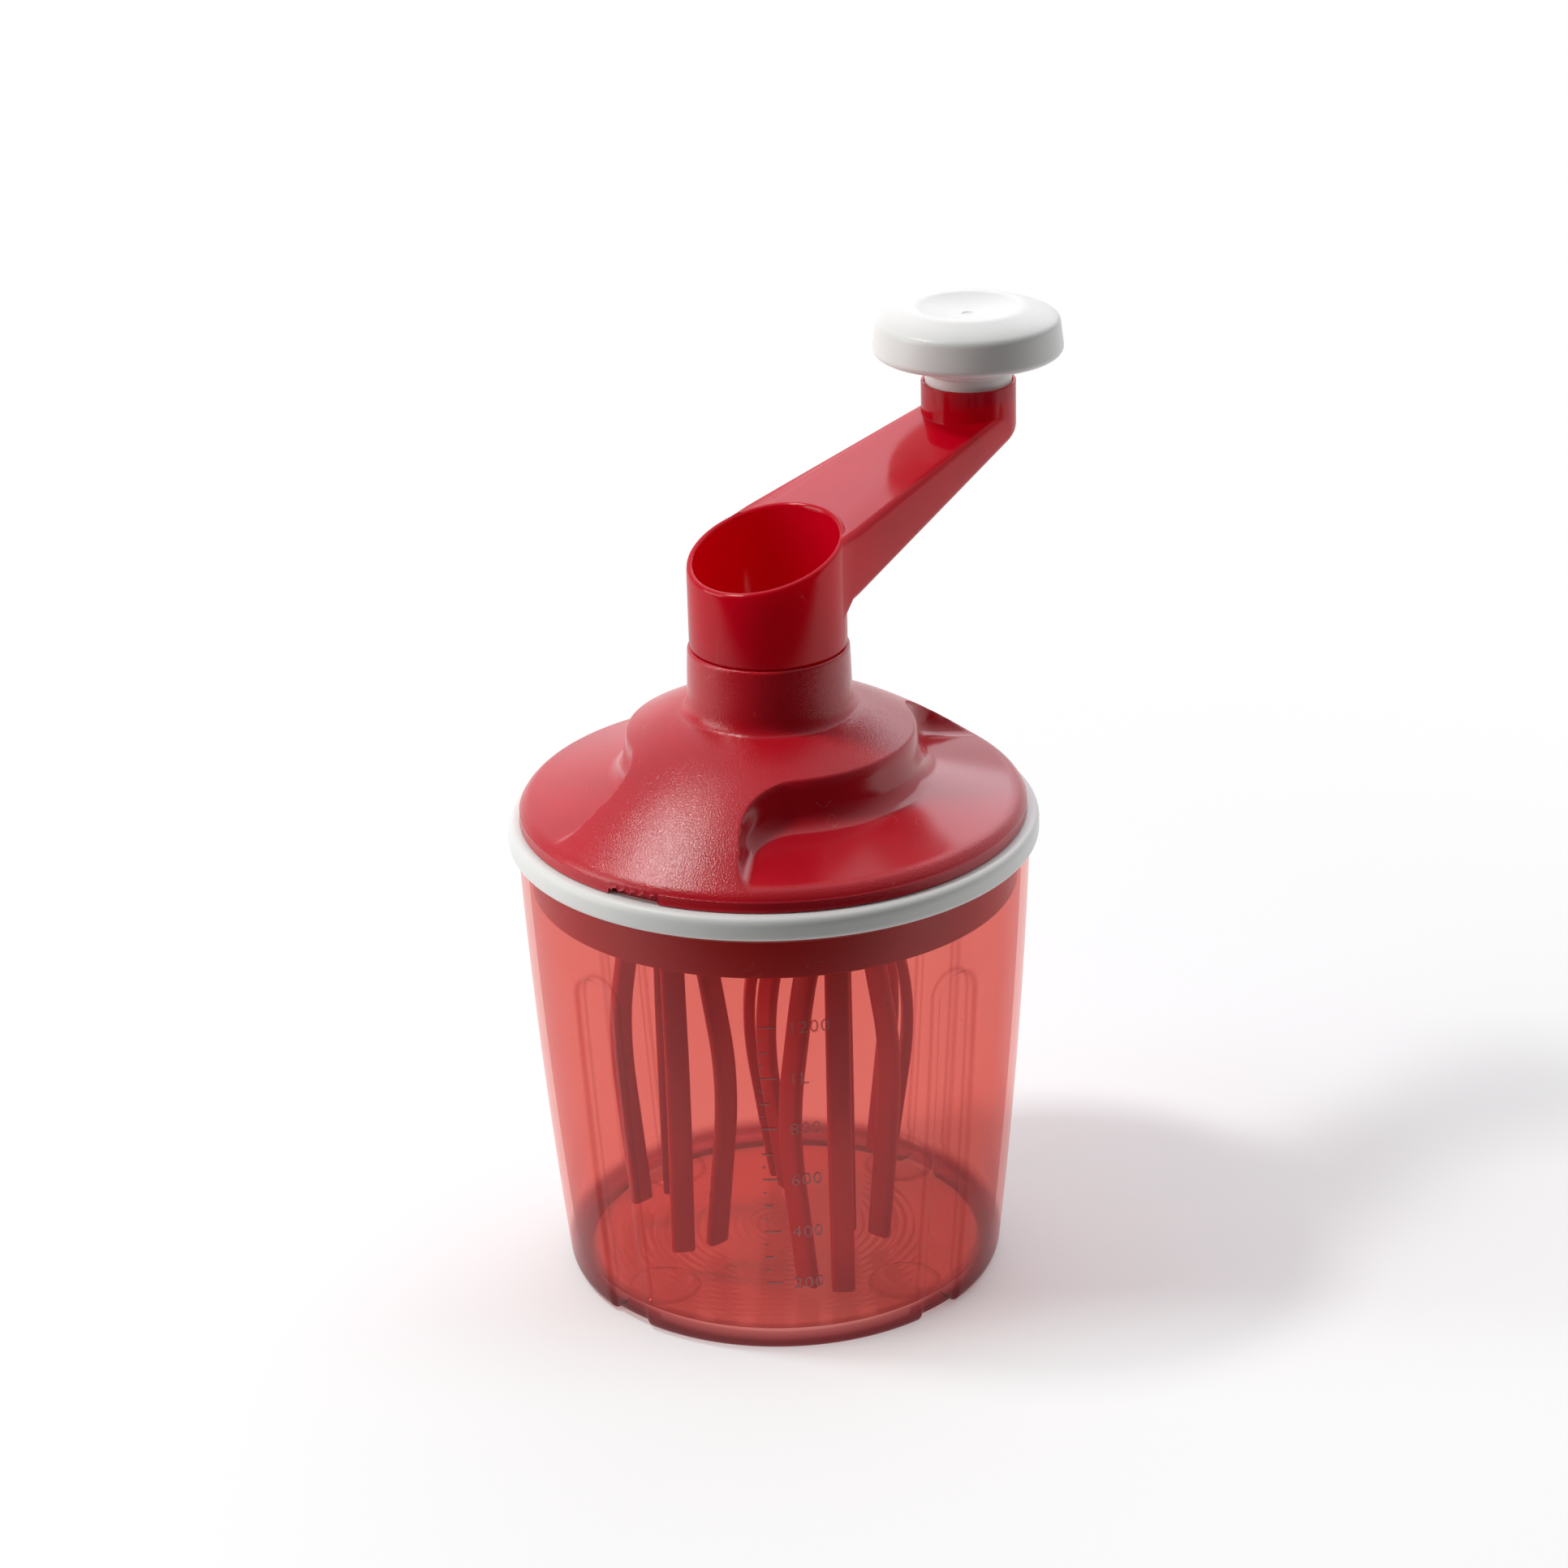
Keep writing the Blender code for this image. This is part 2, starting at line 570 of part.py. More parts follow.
def make_seal_ring(parts):
    channel_in = bowl_radius(BOWL_HEIGHT) - BOWL_WALL - SEAT_GAP
    channel_out = BOWL_RIM_RADIUS + SEAT_GAP
    inner = PLUG_RADIUS + SEAT_GAP
    web_bottom = BOWL_HEIGHT + SEAT_GAP
    web_top = web_bottom + SEAL_WEB
    lip_bottom = web_bottom - SEAL_LIP_DROP
    profile = [(inner, web_top), (COVER_RADIUS + SEAT_GAP, web_top)]
    profile += arc(SEAL_RADIUS - SEAL_EDGE * 1.5, web_top - SEAL_EDGE * 1.5, SEAL_EDGE * 1.5, 80, 0, 2)
    profile += [(SEAL_RADIUS, SEAL_BOTTOM + SEAL_EDGE * 0.6),
                (SEAL_RADIUS - SEAL_EDGE * 0.5, SEAL_BOTTOM), (channel_out, SEAL_BOTTOM),
                (channel_out, web_bottom), (channel_in, web_bottom), (channel_in, lip_bottom),
                (inner, lip_bottom)]
    ring = turned("seal_ring", profile, FINE_TURN, (AXIS_X, 0, 0))
    return place(ring, parts, OFF_WHITE)


def grip_well(name, middle_angle, grow):
    """Sector-shaped solid of a grip well, all its faces moved outward by grow."""
    sweep = WELL_SWEEP + 2 * grow / WELL_INNER_RADIUS
    outer = WELL_RIM_RADIUS + grow
    ceiling = NECK_FOOT_HEIGHT + OVERCUT
    half_depth = (ceiling - WELL_FLOOR_HEIGHT) / 2
    section = [(WELL_INNER_RADIUS - WELL_DRAFT - grow, ceiling),
               (WELL_INNER_RADIUS - grow, WELL_FLOOR_HEIGHT - grow),
               (outer, well_floor(outer) - grow), (outer, ceiling)]

    def is_upright(edge):
        return abs(edge.verts[0].co.z - edge.verts[1].co.z) > half_depth

    def is_floor_edge(edge):
        low = max(vert.co.z for vert in edge.verts) < ceiling - half_depth
        inside = min(vert.co.xy.length for vert in edge.verts) < outer - RUNNING_GAP
        return low and inside

    def round_off(work, wanted, radius, segments):
        edges = [edge for edge in work.edges
                 if wanted(edge) and edge.calc_face_angle(0.0) > math.radians(35)]
        bmesh.ops.bevel(work, geom=edges, offset=radius, segments=segments, profile=0.5,
                        affect="EDGES", clamp_overlap=True)

    def build(work):
        corners = [work.verts.new((radius, 0, height)) for radius, height in section]
        face = work.faces.new(corners)
        bmesh.ops.rotate(work, verts=corners, matrix=Matrix.Rotation(-sweep / 2, 3, "Z"))
        bmesh.ops.spin(work, geom=[face] + face.edges[:] + corners, axis=(0, 0, 1), cent=(0, 0, 0),
                       angle=sweep, steps=WELL_STEPS, use_duplicate=False)
        work.normal_update()
        round_off(work, is_upright, WELL_CORNER + grow, 3)
        round_off(work, is_floor_edge, WELL_FILLET + grow, 2)
        bmesh.ops.remove_doubles(work, verts=work.verts, dist=WELD)
    well = mesh_object(name, build)
    well.location = (AXIS_X, 0, 0)
    well.rotation_euler = (0, 0, middle_angle)
    return well


def make_cover(parts, cutters):
    station = (DOME_RIM_RADIUS - NECK_FOOT_RADIUS) / DOME_STATIONS
    radii = [NECK_FOOT_RADIUS + station * (step + 0.5) for step in range(DOME_STATIONS)]
    dome = [(radius, dome_height(radius)) for radius in radii]
    skirt_top = COVER_BOTTOM + COVER_SKIRT
    profile = [(0.0, NECK_TOP), (NECK_RADIUS - NECK_FLARE, NECK_TOP),
               (NECK_RADIUS, NECK_TOP - NECK_FLARE),
               (NECK_FOOT_RADIUS - NECK_FLARE / 2, NECK_FOOT_HEIGHT + 2 * NECK_FILLET),
               (NECK_FOOT_RADIUS + NECK_FILLET * 0.1, NECK_FOOT_HEIGHT + NECK_FILLET * 0.7),
               (NECK_FOOT_RADIUS + NECK_FILLET * 0.7, NECK_FOOT_HEIGHT + NECK_FILLET * 0.05)]
    profile += dome[1:]
    profile += [(DOME_RIM_RADIUS, DOME_RIM_HEIGHT),
                (COVER_RADIUS - COVER_EDGE * 0.3, DOME_RIM_HEIGHT - COVER_EDGE * 0.5),
                (COVER_RADIUS - COVER_EDGE * 0.08, skirt_top),
                (COVER_RADIUS, COVER_BOTTOM), (0.0, COVER_BOTTOM)]
    cover = turned("cover", profile, FINE_TURN, (AXIS_X, 0, 0), on_axis=True)
    place(cover, parts, COVER_RED)

    inner_rim = COVER_RADIUS - COVER_WALL
    slope_wall = COVER_WALL * 1.15
    inside = [(0.0, NECK_TOP + OVERCUT), (NECK_BORE, NECK_TOP + OVERCUT),
              (NECK_BORE, NECK_SLEEVE_BOTTOM), (SLEEVE_RADIUS, NECK_SLEEVE_BOTTOM),
              (SLEEVE_RADIUS, dome_height(SLEEVE_RADIUS) - slope_wall)]
    inside += [(radius - COVER_WALL * 0.5, dome_height(radius) - slope_wall)
               for radius in radii[1::2]]
    inside += [(inner_rim - COVER_EDGE * 0.4, DOME_RIM_HEIGHT - slope_wall),
               (inner_rim, skirt_top), (inner_rim, COVER_BOTTOM - OVERCUT),
               (0.0, COVER_BOTTOM - OVERCUT)]
    cavity = turned("cover_cavity", inside, FINE_TURN, (AXIS_X, 0, 0), on_axis=True)
    place(cavity, cutters)
    for number in range(WELL_COUNT):
        angle = WELL_MIDDLE_ANGLE + 2 * math.pi * number / WELL_COUNT
        tag = str(number + 1)
        combine(cavity, grip_well("well_backing_" + tag, angle, COVER_WALL), "DIFFERENCE", cutters)
        combine(cover, grip_well("well_cut_" + tag, angle, 0.0), "DIFFERENCE", cutters)
    for number in range(BOSS_COUNT):
        angle = BOSS_FIRST_ANGLE + 2 * math.pi * number / BOSS_COUNT
        tag = str(number + 1)
        root = cylinder("cover_boss_root_" + tag, BOSS_RADIUS + BOSS_STEP, COVER_BOTTOM + BOSS_STEP,
                        NECK_TOP, polar(BOSS_REACH, angle))
        combine(cavity, root, "DIFFERENCE", cutters)
    combine(cover, cavity, "DIFFERENCE", cutters)
    for number in range(BOSS_COUNT):
        angle = BOSS_FIRST_ANGLE + 2 * math.pi * number / BOSS_COUNT
        tag = str(number + 1)
        boss = cylinder("cover_boss_" + tag, BOSS_RADIUS, CASE_FLOOR_TOP + SEAT_GAP,
                        COVER_BOTTOM + 2 * BOSS_STEP, polar(BOSS_REACH, angle))
        combine(cover, boss, "UNION", cutters)
        pilot = cylinder("cover_pilot_" + tag, SCREW_RADIUS + SEAT_GAP, CASE_FLOOR_BOTTOM,
                         CASE_FLOOR_TOP + SCREW_GRIP + 2 * SEAT_GAP, polar(BOSS_REACH, angle))
        combine(cover, pilot, "DIFFERENCE", cutters)
    pry = box("pry_notch", (COVER_WALL * 4, PRY_WIDTH, 2 * PRY_HEIGHT),
              (COVER_RADIUS, 0, COVER_BOTTOM), PRY_ANGLE, (AXIS_X, 0, 0))
    combine(cover, pry, "DIFFERENCE", cutters)
    return cover


def whisk_angle(number):
    return WHISK_FIRST_ANGLE + 2 * math.pi * number / WHISK_COUNT


def post_angle(number):
    return whisk_angle(number) + math.pi / WHISK_COUNT


def make_gear_case(parts, cutters):
    inner = PLUG_RADIUS - CASE_SKIRT_WALL
    collar_top = GEAR_BOTTOM - GEAR_LIP_HEIGHT - SEAT_GAP - RUNNING_GAP
    hole = DRIP_BORE + DRIP_WALL + 2 * SEAT_GAP
    pocket = hole + DRIP_SEAL_WIDTH
    pocket_floor = CASE_FLOOR_BOTTOM + CASE_FLOOR / 2
    profile = [(inner, CASE_SKIRT_TOP), (PLUG_RADIUS, CASE_SKIRT_TOP),
               (PLUG_RADIUS, CASE_SKIRT_BOTTOM),
               (inner, CASE_SKIRT_BOTTOM), (inner, CASE_FLOOR_BOTTOM), (hole, CASE_FLOOR_BOTTOM),
               (hole, pocket_floor), (pocket, pocket_floor), (pocket, collar_top),
               (pocket + CASE_SKIRT_WALL, collar_top), (pocket + CASE_SKIRT_WALL, CASE_FLOOR_TOP),
               (inner, CASE_FLOOR_TOP)]
    case = turned("gear_case", profile, FINE_TURN, (AXIS_X, 0, 0))
    place(case, parts, COVER_RED)
    seal = turned("drip_seal", [(DRIP_BORE + DRIP_WALL + SEAT_GAP, collar_top - SEAT_GAP),
                                (pocket - SEAT_GAP, collar_top - SEAT_GAP),
                                (pocket - SEAT_GAP, pocket_floor + SEAT_GAP),
                                (DRIP_BORE + DRIP_WALL + SEAT_GAP, pocket_floor + SEAT_GAP)],
                  SMALL_TURN, (AXIS_X, 0, 0))
    place(seal, parts, RUBBER_GREY)

    for number in range(WHISK_COUNT):
        tag = str(number + 1)
        spot = polar(WHISK_REACH, whisk_angle(number))
        boss = cylinder("case_boss_" + tag, SEAL_WASHER_RADIUS + SEAL_BOSS_WALL,
                        CASE_FLOOR_TOP - CASE_FLOOR / 2, SPINDLE_FLANGE_BOTTOM - SEAT_GAP, spot)
        combine(case, boss, "UNION", cutters)
        bore = cylinder("case_bore_" + tag, SPINDLE_RADIUS + RUNNING_GAP,
                        CASE_FLOOR_BOTTOM - OVERCUT, CASE_FLOOR_TOP + OVERCUT, spot)
        combine(case, bore, "DIFFERENCE", cutters)
        seat = cylinder("case_seal_seat_" + tag, SEAL_WASHER_RADIUS + SEAT_GAP,
                        CASE_FLOOR_BOTTOM - OVERCUT,
                        CASE_FLOOR_BOTTOM + SEAL_WASHER_THICKNESS + SEAT_GAP, spot)
        combine(case, seat, "DIFFERENCE", cutters)
        washer = turned("spindle_seal_" + tag,
                        [(SPINDLE_RADIUS + RUNNING_GAP, CASE_FLOOR_BOTTOM + SEAL_WASHER_THICKNESS),
                         (SEAL_WASHER_RADIUS, CASE_FLOOR_BOTTOM + SEAL_WASHER_THICKNESS),
                         (SEAL_WASHER_RADIUS, CASE_FLOOR_BOTTOM),
                         (SPINDLE_RADIUS + RUNNING_GAP, CASE_FLOOR_BOTTOM)], SMALL_TURN, spot)
        place(washer, parts, RUBBER_GREY)
        spot = polar(POST_REACH, post_angle(number))
        post = cylinder("case_post_" + tag, POST_RADIUS, CASE_FLOOR_TOP - CASE_FLOOR / 2,
                        PLATE_BOTTOM - SEAT_GAP, spot)
        combine(case, post, "UNION", cutters)
        pilot = cylinder("case_pilot_" + tag, SCREW_RADIUS + SEAT_GAP,
                         PLATE_BOTTOM - SCREW_GRIP - 2 * SEAT_GAP, PLATE_BOTTOM + OVERCUT, spot)
        combine(case, pilot, "DIFFERENCE", cutters)
    for number in range(BOSS_COUNT):
        spot = polar(BOSS_REACH, BOSS_FIRST_ANGLE + 2 * math.pi * number / BOSS_COUNT)
        hole_cut = cylinder("case_screw_hole_" + str(number + 1), SCREW_RADIUS + 2 * SEAT_GAP,
                            CASE_FLOOR_BOTTOM - OVERCUT, CASE_FLOOR_TOP + OVERCUT / 2, spot)
        combine(case, hole_cut, "DIFFERENCE", cutters)
    return case


def make_bearing_plate(parts, cutters):
    inner = TUBE_RADIUS + RUNNING_GAP
    profile = [(inner, PLATE_TOP), (PLATE_RADIUS, PLATE_TOP), (PLATE_RADIUS, PLATE_BOTTOM),
               (inner, PLATE_BOTTOM)]
    plate = turned("bearing_plate", profile, MID_TURN, (AXIS_X, 0, 0))
    place(plate, parts, GEAR_WHITE)
    for number in range(WHISK_COUNT):
        tag = str(number + 1)
        journal = cylinder("plate_bore_" + tag, SPINDLE_JOURNAL_RADIUS + RUNNING_GAP,
                           PLATE_BOTTOM - OVERCUT / 2, PLATE_TOP + OVERCUT / 2,
                           polar(WHISK_REACH, whisk_angle(number)))
        combine(plate, journal, "DIFFERENCE", cutters)
        hole = cylinder("plate_screw_hole_" + tag, SCREW_RADIUS + 2 * SEAT_GAP,
                        PLATE_BOTTOM - OVERCUT / 2, PLATE_TOP + OVERCUT / 2,
                        polar(POST_REACH, post_angle(number)))
        combine(plate, hole, "DIFFERENCE", cutters)
    return plate


def make_screw(name, parts, spot, head_face, direction):
    """Screw with its head on a face and its shank running up (1) or down (-1)."""
    head = head_face - direction * SCREW_HEAD_HEIGHT
    end = head_face + direction * (SCREW_GRIP + PLATE_THICKNESS)
    profile = [(0.0, head), (SCREW_HEAD_RADIUS, head), (SCREW_HEAD_RADIUS, head_face),
               (SCREW_RADIUS, head_face), (SCREW_RADIUS, end), (0.0, end)]
    if direction > 0:
        profile.reverse()
    return place(turned(name, profile, 8, spot, on_axis=True), parts, STEEL)


def make_screws(parts):
    for number in range(WHISK_COUNT):
        make_screw("plate_screw_" + str(number + 1), parts, polar(POST_REACH, post_angle(number)),
                   PLATE_TOP + SEAT_GAP, -1)
    for number in range(BOSS_COUNT):
        angle = BOSS_FIRST_ANGLE + 2 * math.pi * number / BOSS_COUNT
        make_screw("case_screw_" + str(number + 1), parts, polar(BOSS_REACH, angle),
                   CASE_FLOOR_BOTTOM - SEAT_GAP, 1)


def make_neck_bush(parts):
    inner = TUBE_RADIUS + RUNNING_GAP
    outer = NECK_BORE - SEAT_GAP
    top = NECK_TOP - 2 * SEAT_GAP
    profile = [(inner, top), (outer, top), (outer, BUSH_FLANGE_TOP),
               (SLEEVE_RADIUS, BUSH_FLANGE_TOP), (SLEEVE_RADIUS, BUSH_BOTTOM),
               (inner, BUSH_BOTTOM)]
    bush = turned("neck_bush", profile, MID_TURN, (AXIS_X, 0, 0))
    return place(bush, parts, GEAR_WHITE)


def make_retaining_ring(parts, cutters):
    inner = TUBE_RADIUS - GROOVE_DEPTH + SEAT_GAP
    bottom = RING_TOP - RING_THICKNESS
    profile = [(inner, RING_TOP), (inner + RING_WIDTH, RING_TOP), (inner + RING_WIDTH, bottom),
               (inner, bottom)]
    ring = turned("retaining_ring", profile, MID_TURN, (AXIS_X, 0, 0))
    place(ring, parts, STEEL)
    gap = box("ring_opening", (4 * RING_WIDTH, RING_OPENING, 4 * RING_THICKNESS),
              (-inner - RING_WIDTH, 0, bottom), 0.0, (AXIS_X, 0, 0))
    return combine(ring, gap, "DIFFERENCE", cutters)


def gear_outline(teeth, first_tooth):
    """Involute spur gear outline with its first tooth's middle at an angle."""
    pitch = GEAR_MODULE * teeth / 2
    base = pitch * math.cos(PRESSURE_ANGLE)
    root = pitch - 1.25 * GEAR_MODULE
    tip = pitch + GEAR_MODULE
    involute = math.tan(PRESSURE_ANGLE) - PRESSURE_ANGLE
    half_at_pitch = math.pi / (2 * teeth) - BACKLASH / pitch
    flank = [(root, max(root, base)), (tip, tip)]
    points = []
    for number in range(teeth):
        middle = first_tooth + 2 * math.pi * number / teeth
        left = []
        for radius, reading in flank:
            slope = math.acos(min(1.0, base / reading))
            half = half_at_pitch + involute - (math.tan(slope) - slope)
            left.append((radius, half))
        for radius, half in left:
            points.append((radius * math.cos(middle - half), radius * math.sin(middle - half)))
        for radius, half in reversed(left):
            points.append((radius * math.cos(middle + half), radius * math.sin(middle + half)))
    return points


def circle_loop(radius, steps, turn=0.0):
    return [(radius * math.cos(turn + 2 * math.pi * step / steps),
             radius * math.sin(turn + 2 * math.pi * step / steps)) for step in range(steps)]


def make_drive_gear(parts, cutters):
    outline = gear_outline(DRIVE_TEETH, WHISK_FIRST_ANGLE)
    bore = circle_loop(GEAR_SEAT_RADIUS + SEAT_GAP, MID_TURN)
    gear = outline_object("drive_gear", [outline, bore], GEAR_FACE)
    gear.location = (AXIS_X, 0, GEAR_BOTTOM + GEAR_FACE / 2)
    place(gear, parts, GEAR_WHITE)
    for number in range(3):
        slot = box("gear_key_slot_" + str(number + 1),
                   (2 * GEAR_KEY_DEPTH, GEAR_KEY_WIDTH + 2 * SEAT_GAP, 2 * GEAR_FACE),
                   (GEAR_SEAT_RADIUS + SEAT_GAP, 0, GEAR_BOTTOM + GEAR_FACE / 2),
                   2 * math.pi * number / 3, (AXIS_X, 0, 0))
        combine(gear, slot, "DIFFERENCE", cutters)
    return gear


def make_crank(parts, cutters):
    seat_top = GEAR_TOP + SEAT_GAP
    lip_top = GEAR_BOTTOM - SEAT_GAP
    tube_end = lip_top - GEAR_LIP_HEIGHT
    groove_top = RING_TOP + SEAT_GAP
    groove_bottom = RING_TOP - RING_THICKNESS - SEAT_GAP
    groove = TUBE_RADIUS - GROOVE_DEPTH
    tube_bore = TUBE_RADIUS - TUBE_WALL
    pipe = DRIP_BORE + DRIP_WALL
    cone_slope = (FUNNEL_CONE_TOP - FUNNEL_CONE_BOTTOM) / (FUNNEL_RADIUS - DRIP_BORE)
    cone_wall = HUB_WALL * 1.6

    def cone_height(radius):
        return FUNNEL_CONE_BOTTOM + (radius - DRIP_BORE) * cone_slope

    top = RIM_MIDDLE_HEIGHT + 2 * RIM_SLANT
    profile = [(FUNNEL_RADIUS, top), (HUB_RADIUS, top), (HUB_RADIUS, HUB_BOTTOM + HUB_EDGE),
               (HUB_RADIUS - HUB_EDGE, HUB_BOTTOM), (TUBE_RADIUS, HUB_BOTTOM),
               (TUBE_RADIUS, groove_top), (groove, groove_top), (groove, groove_bottom),
               (TUBE_RADIUS, groove_bottom), (TUBE_RADIUS, seat_top), (GEAR_SEAT_RADIUS, seat_top),
               (GEAR_SEAT_RADIUS, lip_top), (GEAR_SEAT_RADIUS + GEAR_LIP, lip_top),
               (GEAR_SEAT_RADIUS, tube_end), (tube_bore, tube_end),
               (tube_bore, cone_height(tube_bore) - cone_wall), (pipe, cone_height(pipe) - cone_wall),
               (pipe, DRIP_BOTTOM), (DRIP_BORE, DRIP_BOTTOM), (DRIP_BORE, FUNNEL_CONE_BOTTOM),
               (FUNNEL_RADIUS, FUNNEL_CONE_TOP)]
    crank = turned("crank", profile, MID_TURN, (AXIS_X, 0, 0))
    place(crank, parts, GLOSS_RED)

    slant = box("rim_slant", (4 * HUB_RADIUS, 4 * HUB_RADIUS, 4 * HUB_RADIUS),
                (0, 0, 2 * HUB_RADIUS))
    slant.location = (AXIS_X, 0, RIM_MIDDLE_HEIGHT)
    slant.rotation_euler = (0, -math.atan2(RIM_SLANT, HUB_RADIUS), 0)
    combine(crank, slant, "DIFFERENCE", cutters)
    combine(crank, crank_arm(cutters), "UNION", cutters)
    boss = cylinder("arm_boss", ARM_BOSS_RADIUS, (ARM_TIP_TOP + ARM_TIP_BOTTOM) / 2, ARM_BOSS_TOP,
                    (AXIS_X + ARM_REACH, 0, 0), MID_TURN)
    combine(crank, boss, "UNION", cutters)
    recess = cylinder("boss_recess", KNOB_NECK_RADIUS + SEAT_GAP, BOSS_FLOOR,
                      ARM_BOSS_TOP + OVERCUT, (AXIS_X + ARM_REACH, 0, 0), MID_TURN)
    combine(crank, recess, "DIFFERENCE", cutters)
    socket = cylinder("pin_socket", PIN_RADIUS + SEAT_GAP, PIN_BOTTOM - SEAT_GAP,
                      BOSS_FLOOR + OVERCUT / 2, (AXIS_X + ARM_REACH, 0, 0))
    combine(crank, socket, "DIFFERENCE", cutters)
    for number in range(3):
        key = box("gear_key_" + str(number + 1),
                  (2 * GEAR_KEY_DEPTH - 2 * SEAT_GAP, GEAR_KEY_WIDTH, GEAR_FACE - GEAR_LIP_HEIGHT),
                  (GEAR_SEAT_RADIUS, 0, GEAR_BOTTOM + GEAR_FACE / 2), 2 * math.pi * number / 3,
                  (AXIS_X, 0, 0))
        combine(crank, key, "UNION", cutters)
    return crank


def arm_line(root_height, tip_height, reach):
    """Height on a straight line along the arm, from its root reach to the boss."""
    share = (reach - ARM_ROOT_REACH) / (ARM_REACH - ARM_ROOT_REACH)
    return root_height + (tip_height - root_height) * share


def arm_half_width(reach):
    share = (reach - ARM_ROOT_REACH) / (ARM_REACH - ARM_ROOT_REACH)
    return ARM_ROOT_HALF_WIDTH + (ARM_BOSS_RADIUS - ARM_ROOT_HALF_WIDTH) * share


def arm_channel():
    """Tapered block that hollows the arm from below between hub and boss."""
    start = HUB_RADIUS + ARM_WALL
    end = ARM_REACH - ARM_BOSS_RADIUS

    def build(work):
        bmesh.ops.create_cube(work, size=2.0)
        for vert in work.verts:
            reach = end if vert.co.x > 0 else start
            height = ARM_ROOT_BOTTOM - 2 * OVERCUT
            if vert.co.z > 0:
                height = arm_line(ARM_ROOT_TOP, ARM_TIP_TOP, reach) - ARM_WALL
            vert.co = (reach, vert.co.y * (arm_half_width(reach) - ARM_WALL), height)
    channel = mesh_object("arm_channel", build)
    channel.location = (AXIS_X, 0, 0)
    return channel


def crank_arm(cutters):
    """Arm between hub and boss: its side outline crossed with its plan outline."""
    start = GUSSET_REACH
    end = ARM_REACH + ARM_BOSS_RADIUS + OVERCUT
    drop = GUSSET_DROP
    low = arm_line(ARM_ROOT_BOTTOM, ARM_TIP_BOTTOM, start)
    side = [(start - 2 * drop, low - drop), (start - 0.4 * drop, low - drop),
            (start + 0.6 * drop, arm_line(ARM_ROOT_BOTTOM, ARM_TIP_BOTTOM, start + 0.6 * drop)),
            (end, arm_line(ARM_ROOT_BOTTOM, ARM_TIP_BOTTOM, end)),
            (end, ARM_TIP_TOP), (ARM_REACH, ARM_TIP_TOP),
            (start - 2 * drop, arm_line(ARM_ROOT_TOP, ARM_TIP_TOP, start - 2 * drop))]
    arm = outline_object("arm", [side], 4 * ARM_ROOT_HALF_WIDTH)
    arm.matrix_world = Matrix.Translation((AXIS_X, 0, 0)) @ Matrix.Rotation(math.radians(90), 4, "X")
    lean = math.degrees(math.asin((ARM_ROOT_HALF_WIDTH - ARM_BOSS_RADIUS)
                                  / (ARM_REACH - ARM_ROOT_REACH)))
    plan = [(0.0, -ARM_ROOT_HALF_WIDTH), (ARM_ROOT_REACH, -ARM_ROOT_HALF_WIDTH)]
    plan += arc(ARM_REACH, 0, ARM_BOSS_RADIUS, -90 + lean, 90 - lean, 12)
    plan += [(ARM_ROOT_REACH, ARM_ROOT_HALF_WIDTH), (0.0, ARM_ROOT_HALF_WIDTH)]
    footprint = outline_object("arm_plan", [plan], 2 * ARM_REACH)
    footprint.location = (AXIS_X, 0, ARM_ROOT_TOP)
    combine(arm, footprint, "INTERSECT", cutters)
    bevel(arm, ARM_EDGE, 2)
    bore = cylinder("arm_root_bore", HUB_RADIUS - HUB_WALL / 2, ARM_ROOT_BOTTOM - 3 * OVERCUT,
                    ARM_TIP_TOP + 3 * OVERCUT, (AXIS_X, 0, 0), MID_TURN)
    combine(arm, bore, "DIFFERENCE", cutters)
    return combine(arm, arm_channel(), "DIFFERENCE", cutters)


def make_knob(parts):
    dish = []
    for step in range(4):
        share = step / 3
        dish.append((KNOB_DISH_RADIUS * share, KNOB_TOP - KNOB_DISH_DEPTH * (1 - share ** 2)))
    bore = PIN_RADIUS + RUNNING_GAP
    profile = dish
    profile += [(KNOB_DISH_RADIUS + KNOB_EDGE, KNOB_TOP - KNOB_EDGE * 0.2),
                (KNOB_BAND_TOP_RADIUS - 6 * KNOB_EDGE, KNOB_BAND_TOP + KNOB_CROWN * 0.4),
                (KNOB_BAND_TOP_RADIUS - KNOB_EDGE, KNOB_BAND_TOP + KNOB_EDGE / 2),
                (KNOB_BAND_TOP_RADIUS, KNOB_BAND_TOP - KNOB_EDGE),
                (KNOB_RADIUS, KNOB_BAND_BOTTOM), (KNOB_RADIUS - KNOB_EDGE, KNOB_BOTTOM + KNOB_EDGE / 2),
                (KNOB_RADIUS - 3 * KNOB_EDGE, KNOB_BOTTOM),
                (KNOB_COLLAR_RADIUS, KNOB_BOTTOM - KNOB_EDGE), (KNOB_COLLAR_RADIUS, KNOB_COLLAR_BOTTOM),
                (KNOB_NECK_RADIUS, KNOB_COLLAR_BOTTOM - KNOB_EDGE),
                (KNOB_NECK_RADIUS, KNOB_NECK_BOTTOM), (bore, KNOB_NECK_BOTTOM),
                (bore, PIN_TOP + SEAT_GAP), (0.0, PIN_TOP + SEAT_GAP)]
    knob = turned("knob", profile, MID_TURN, (AXIS_X + ARM_REACH, 0, 0), on_axis=True)
    place(knob, parts, OFF_WHITE)
    pin = cylinder("knob_pin", PIN_RADIUS, PIN_BOTTOM, PIN_TOP, (AXIS_X + ARM_REACH, 0, 0))
    place(pin, parts, STEEL)
    inner = PIN_RADIUS + SEAT_GAP
    outer = inner + WASHER_WIDTH
    low = BOSS_FLOOR + SEAT_GAP
    washer = turned("knob_washer", [(inner, low + WASHER_THICKNESS),
                                    (outer, low + WASHER_THICKNESS), (outer, low), (inner, low)],
                    SMALL_TURN, (AXIS_X + ARM_REACH, 0, 0))
    place(washer, parts, GEAR_WHITE)
    return knob


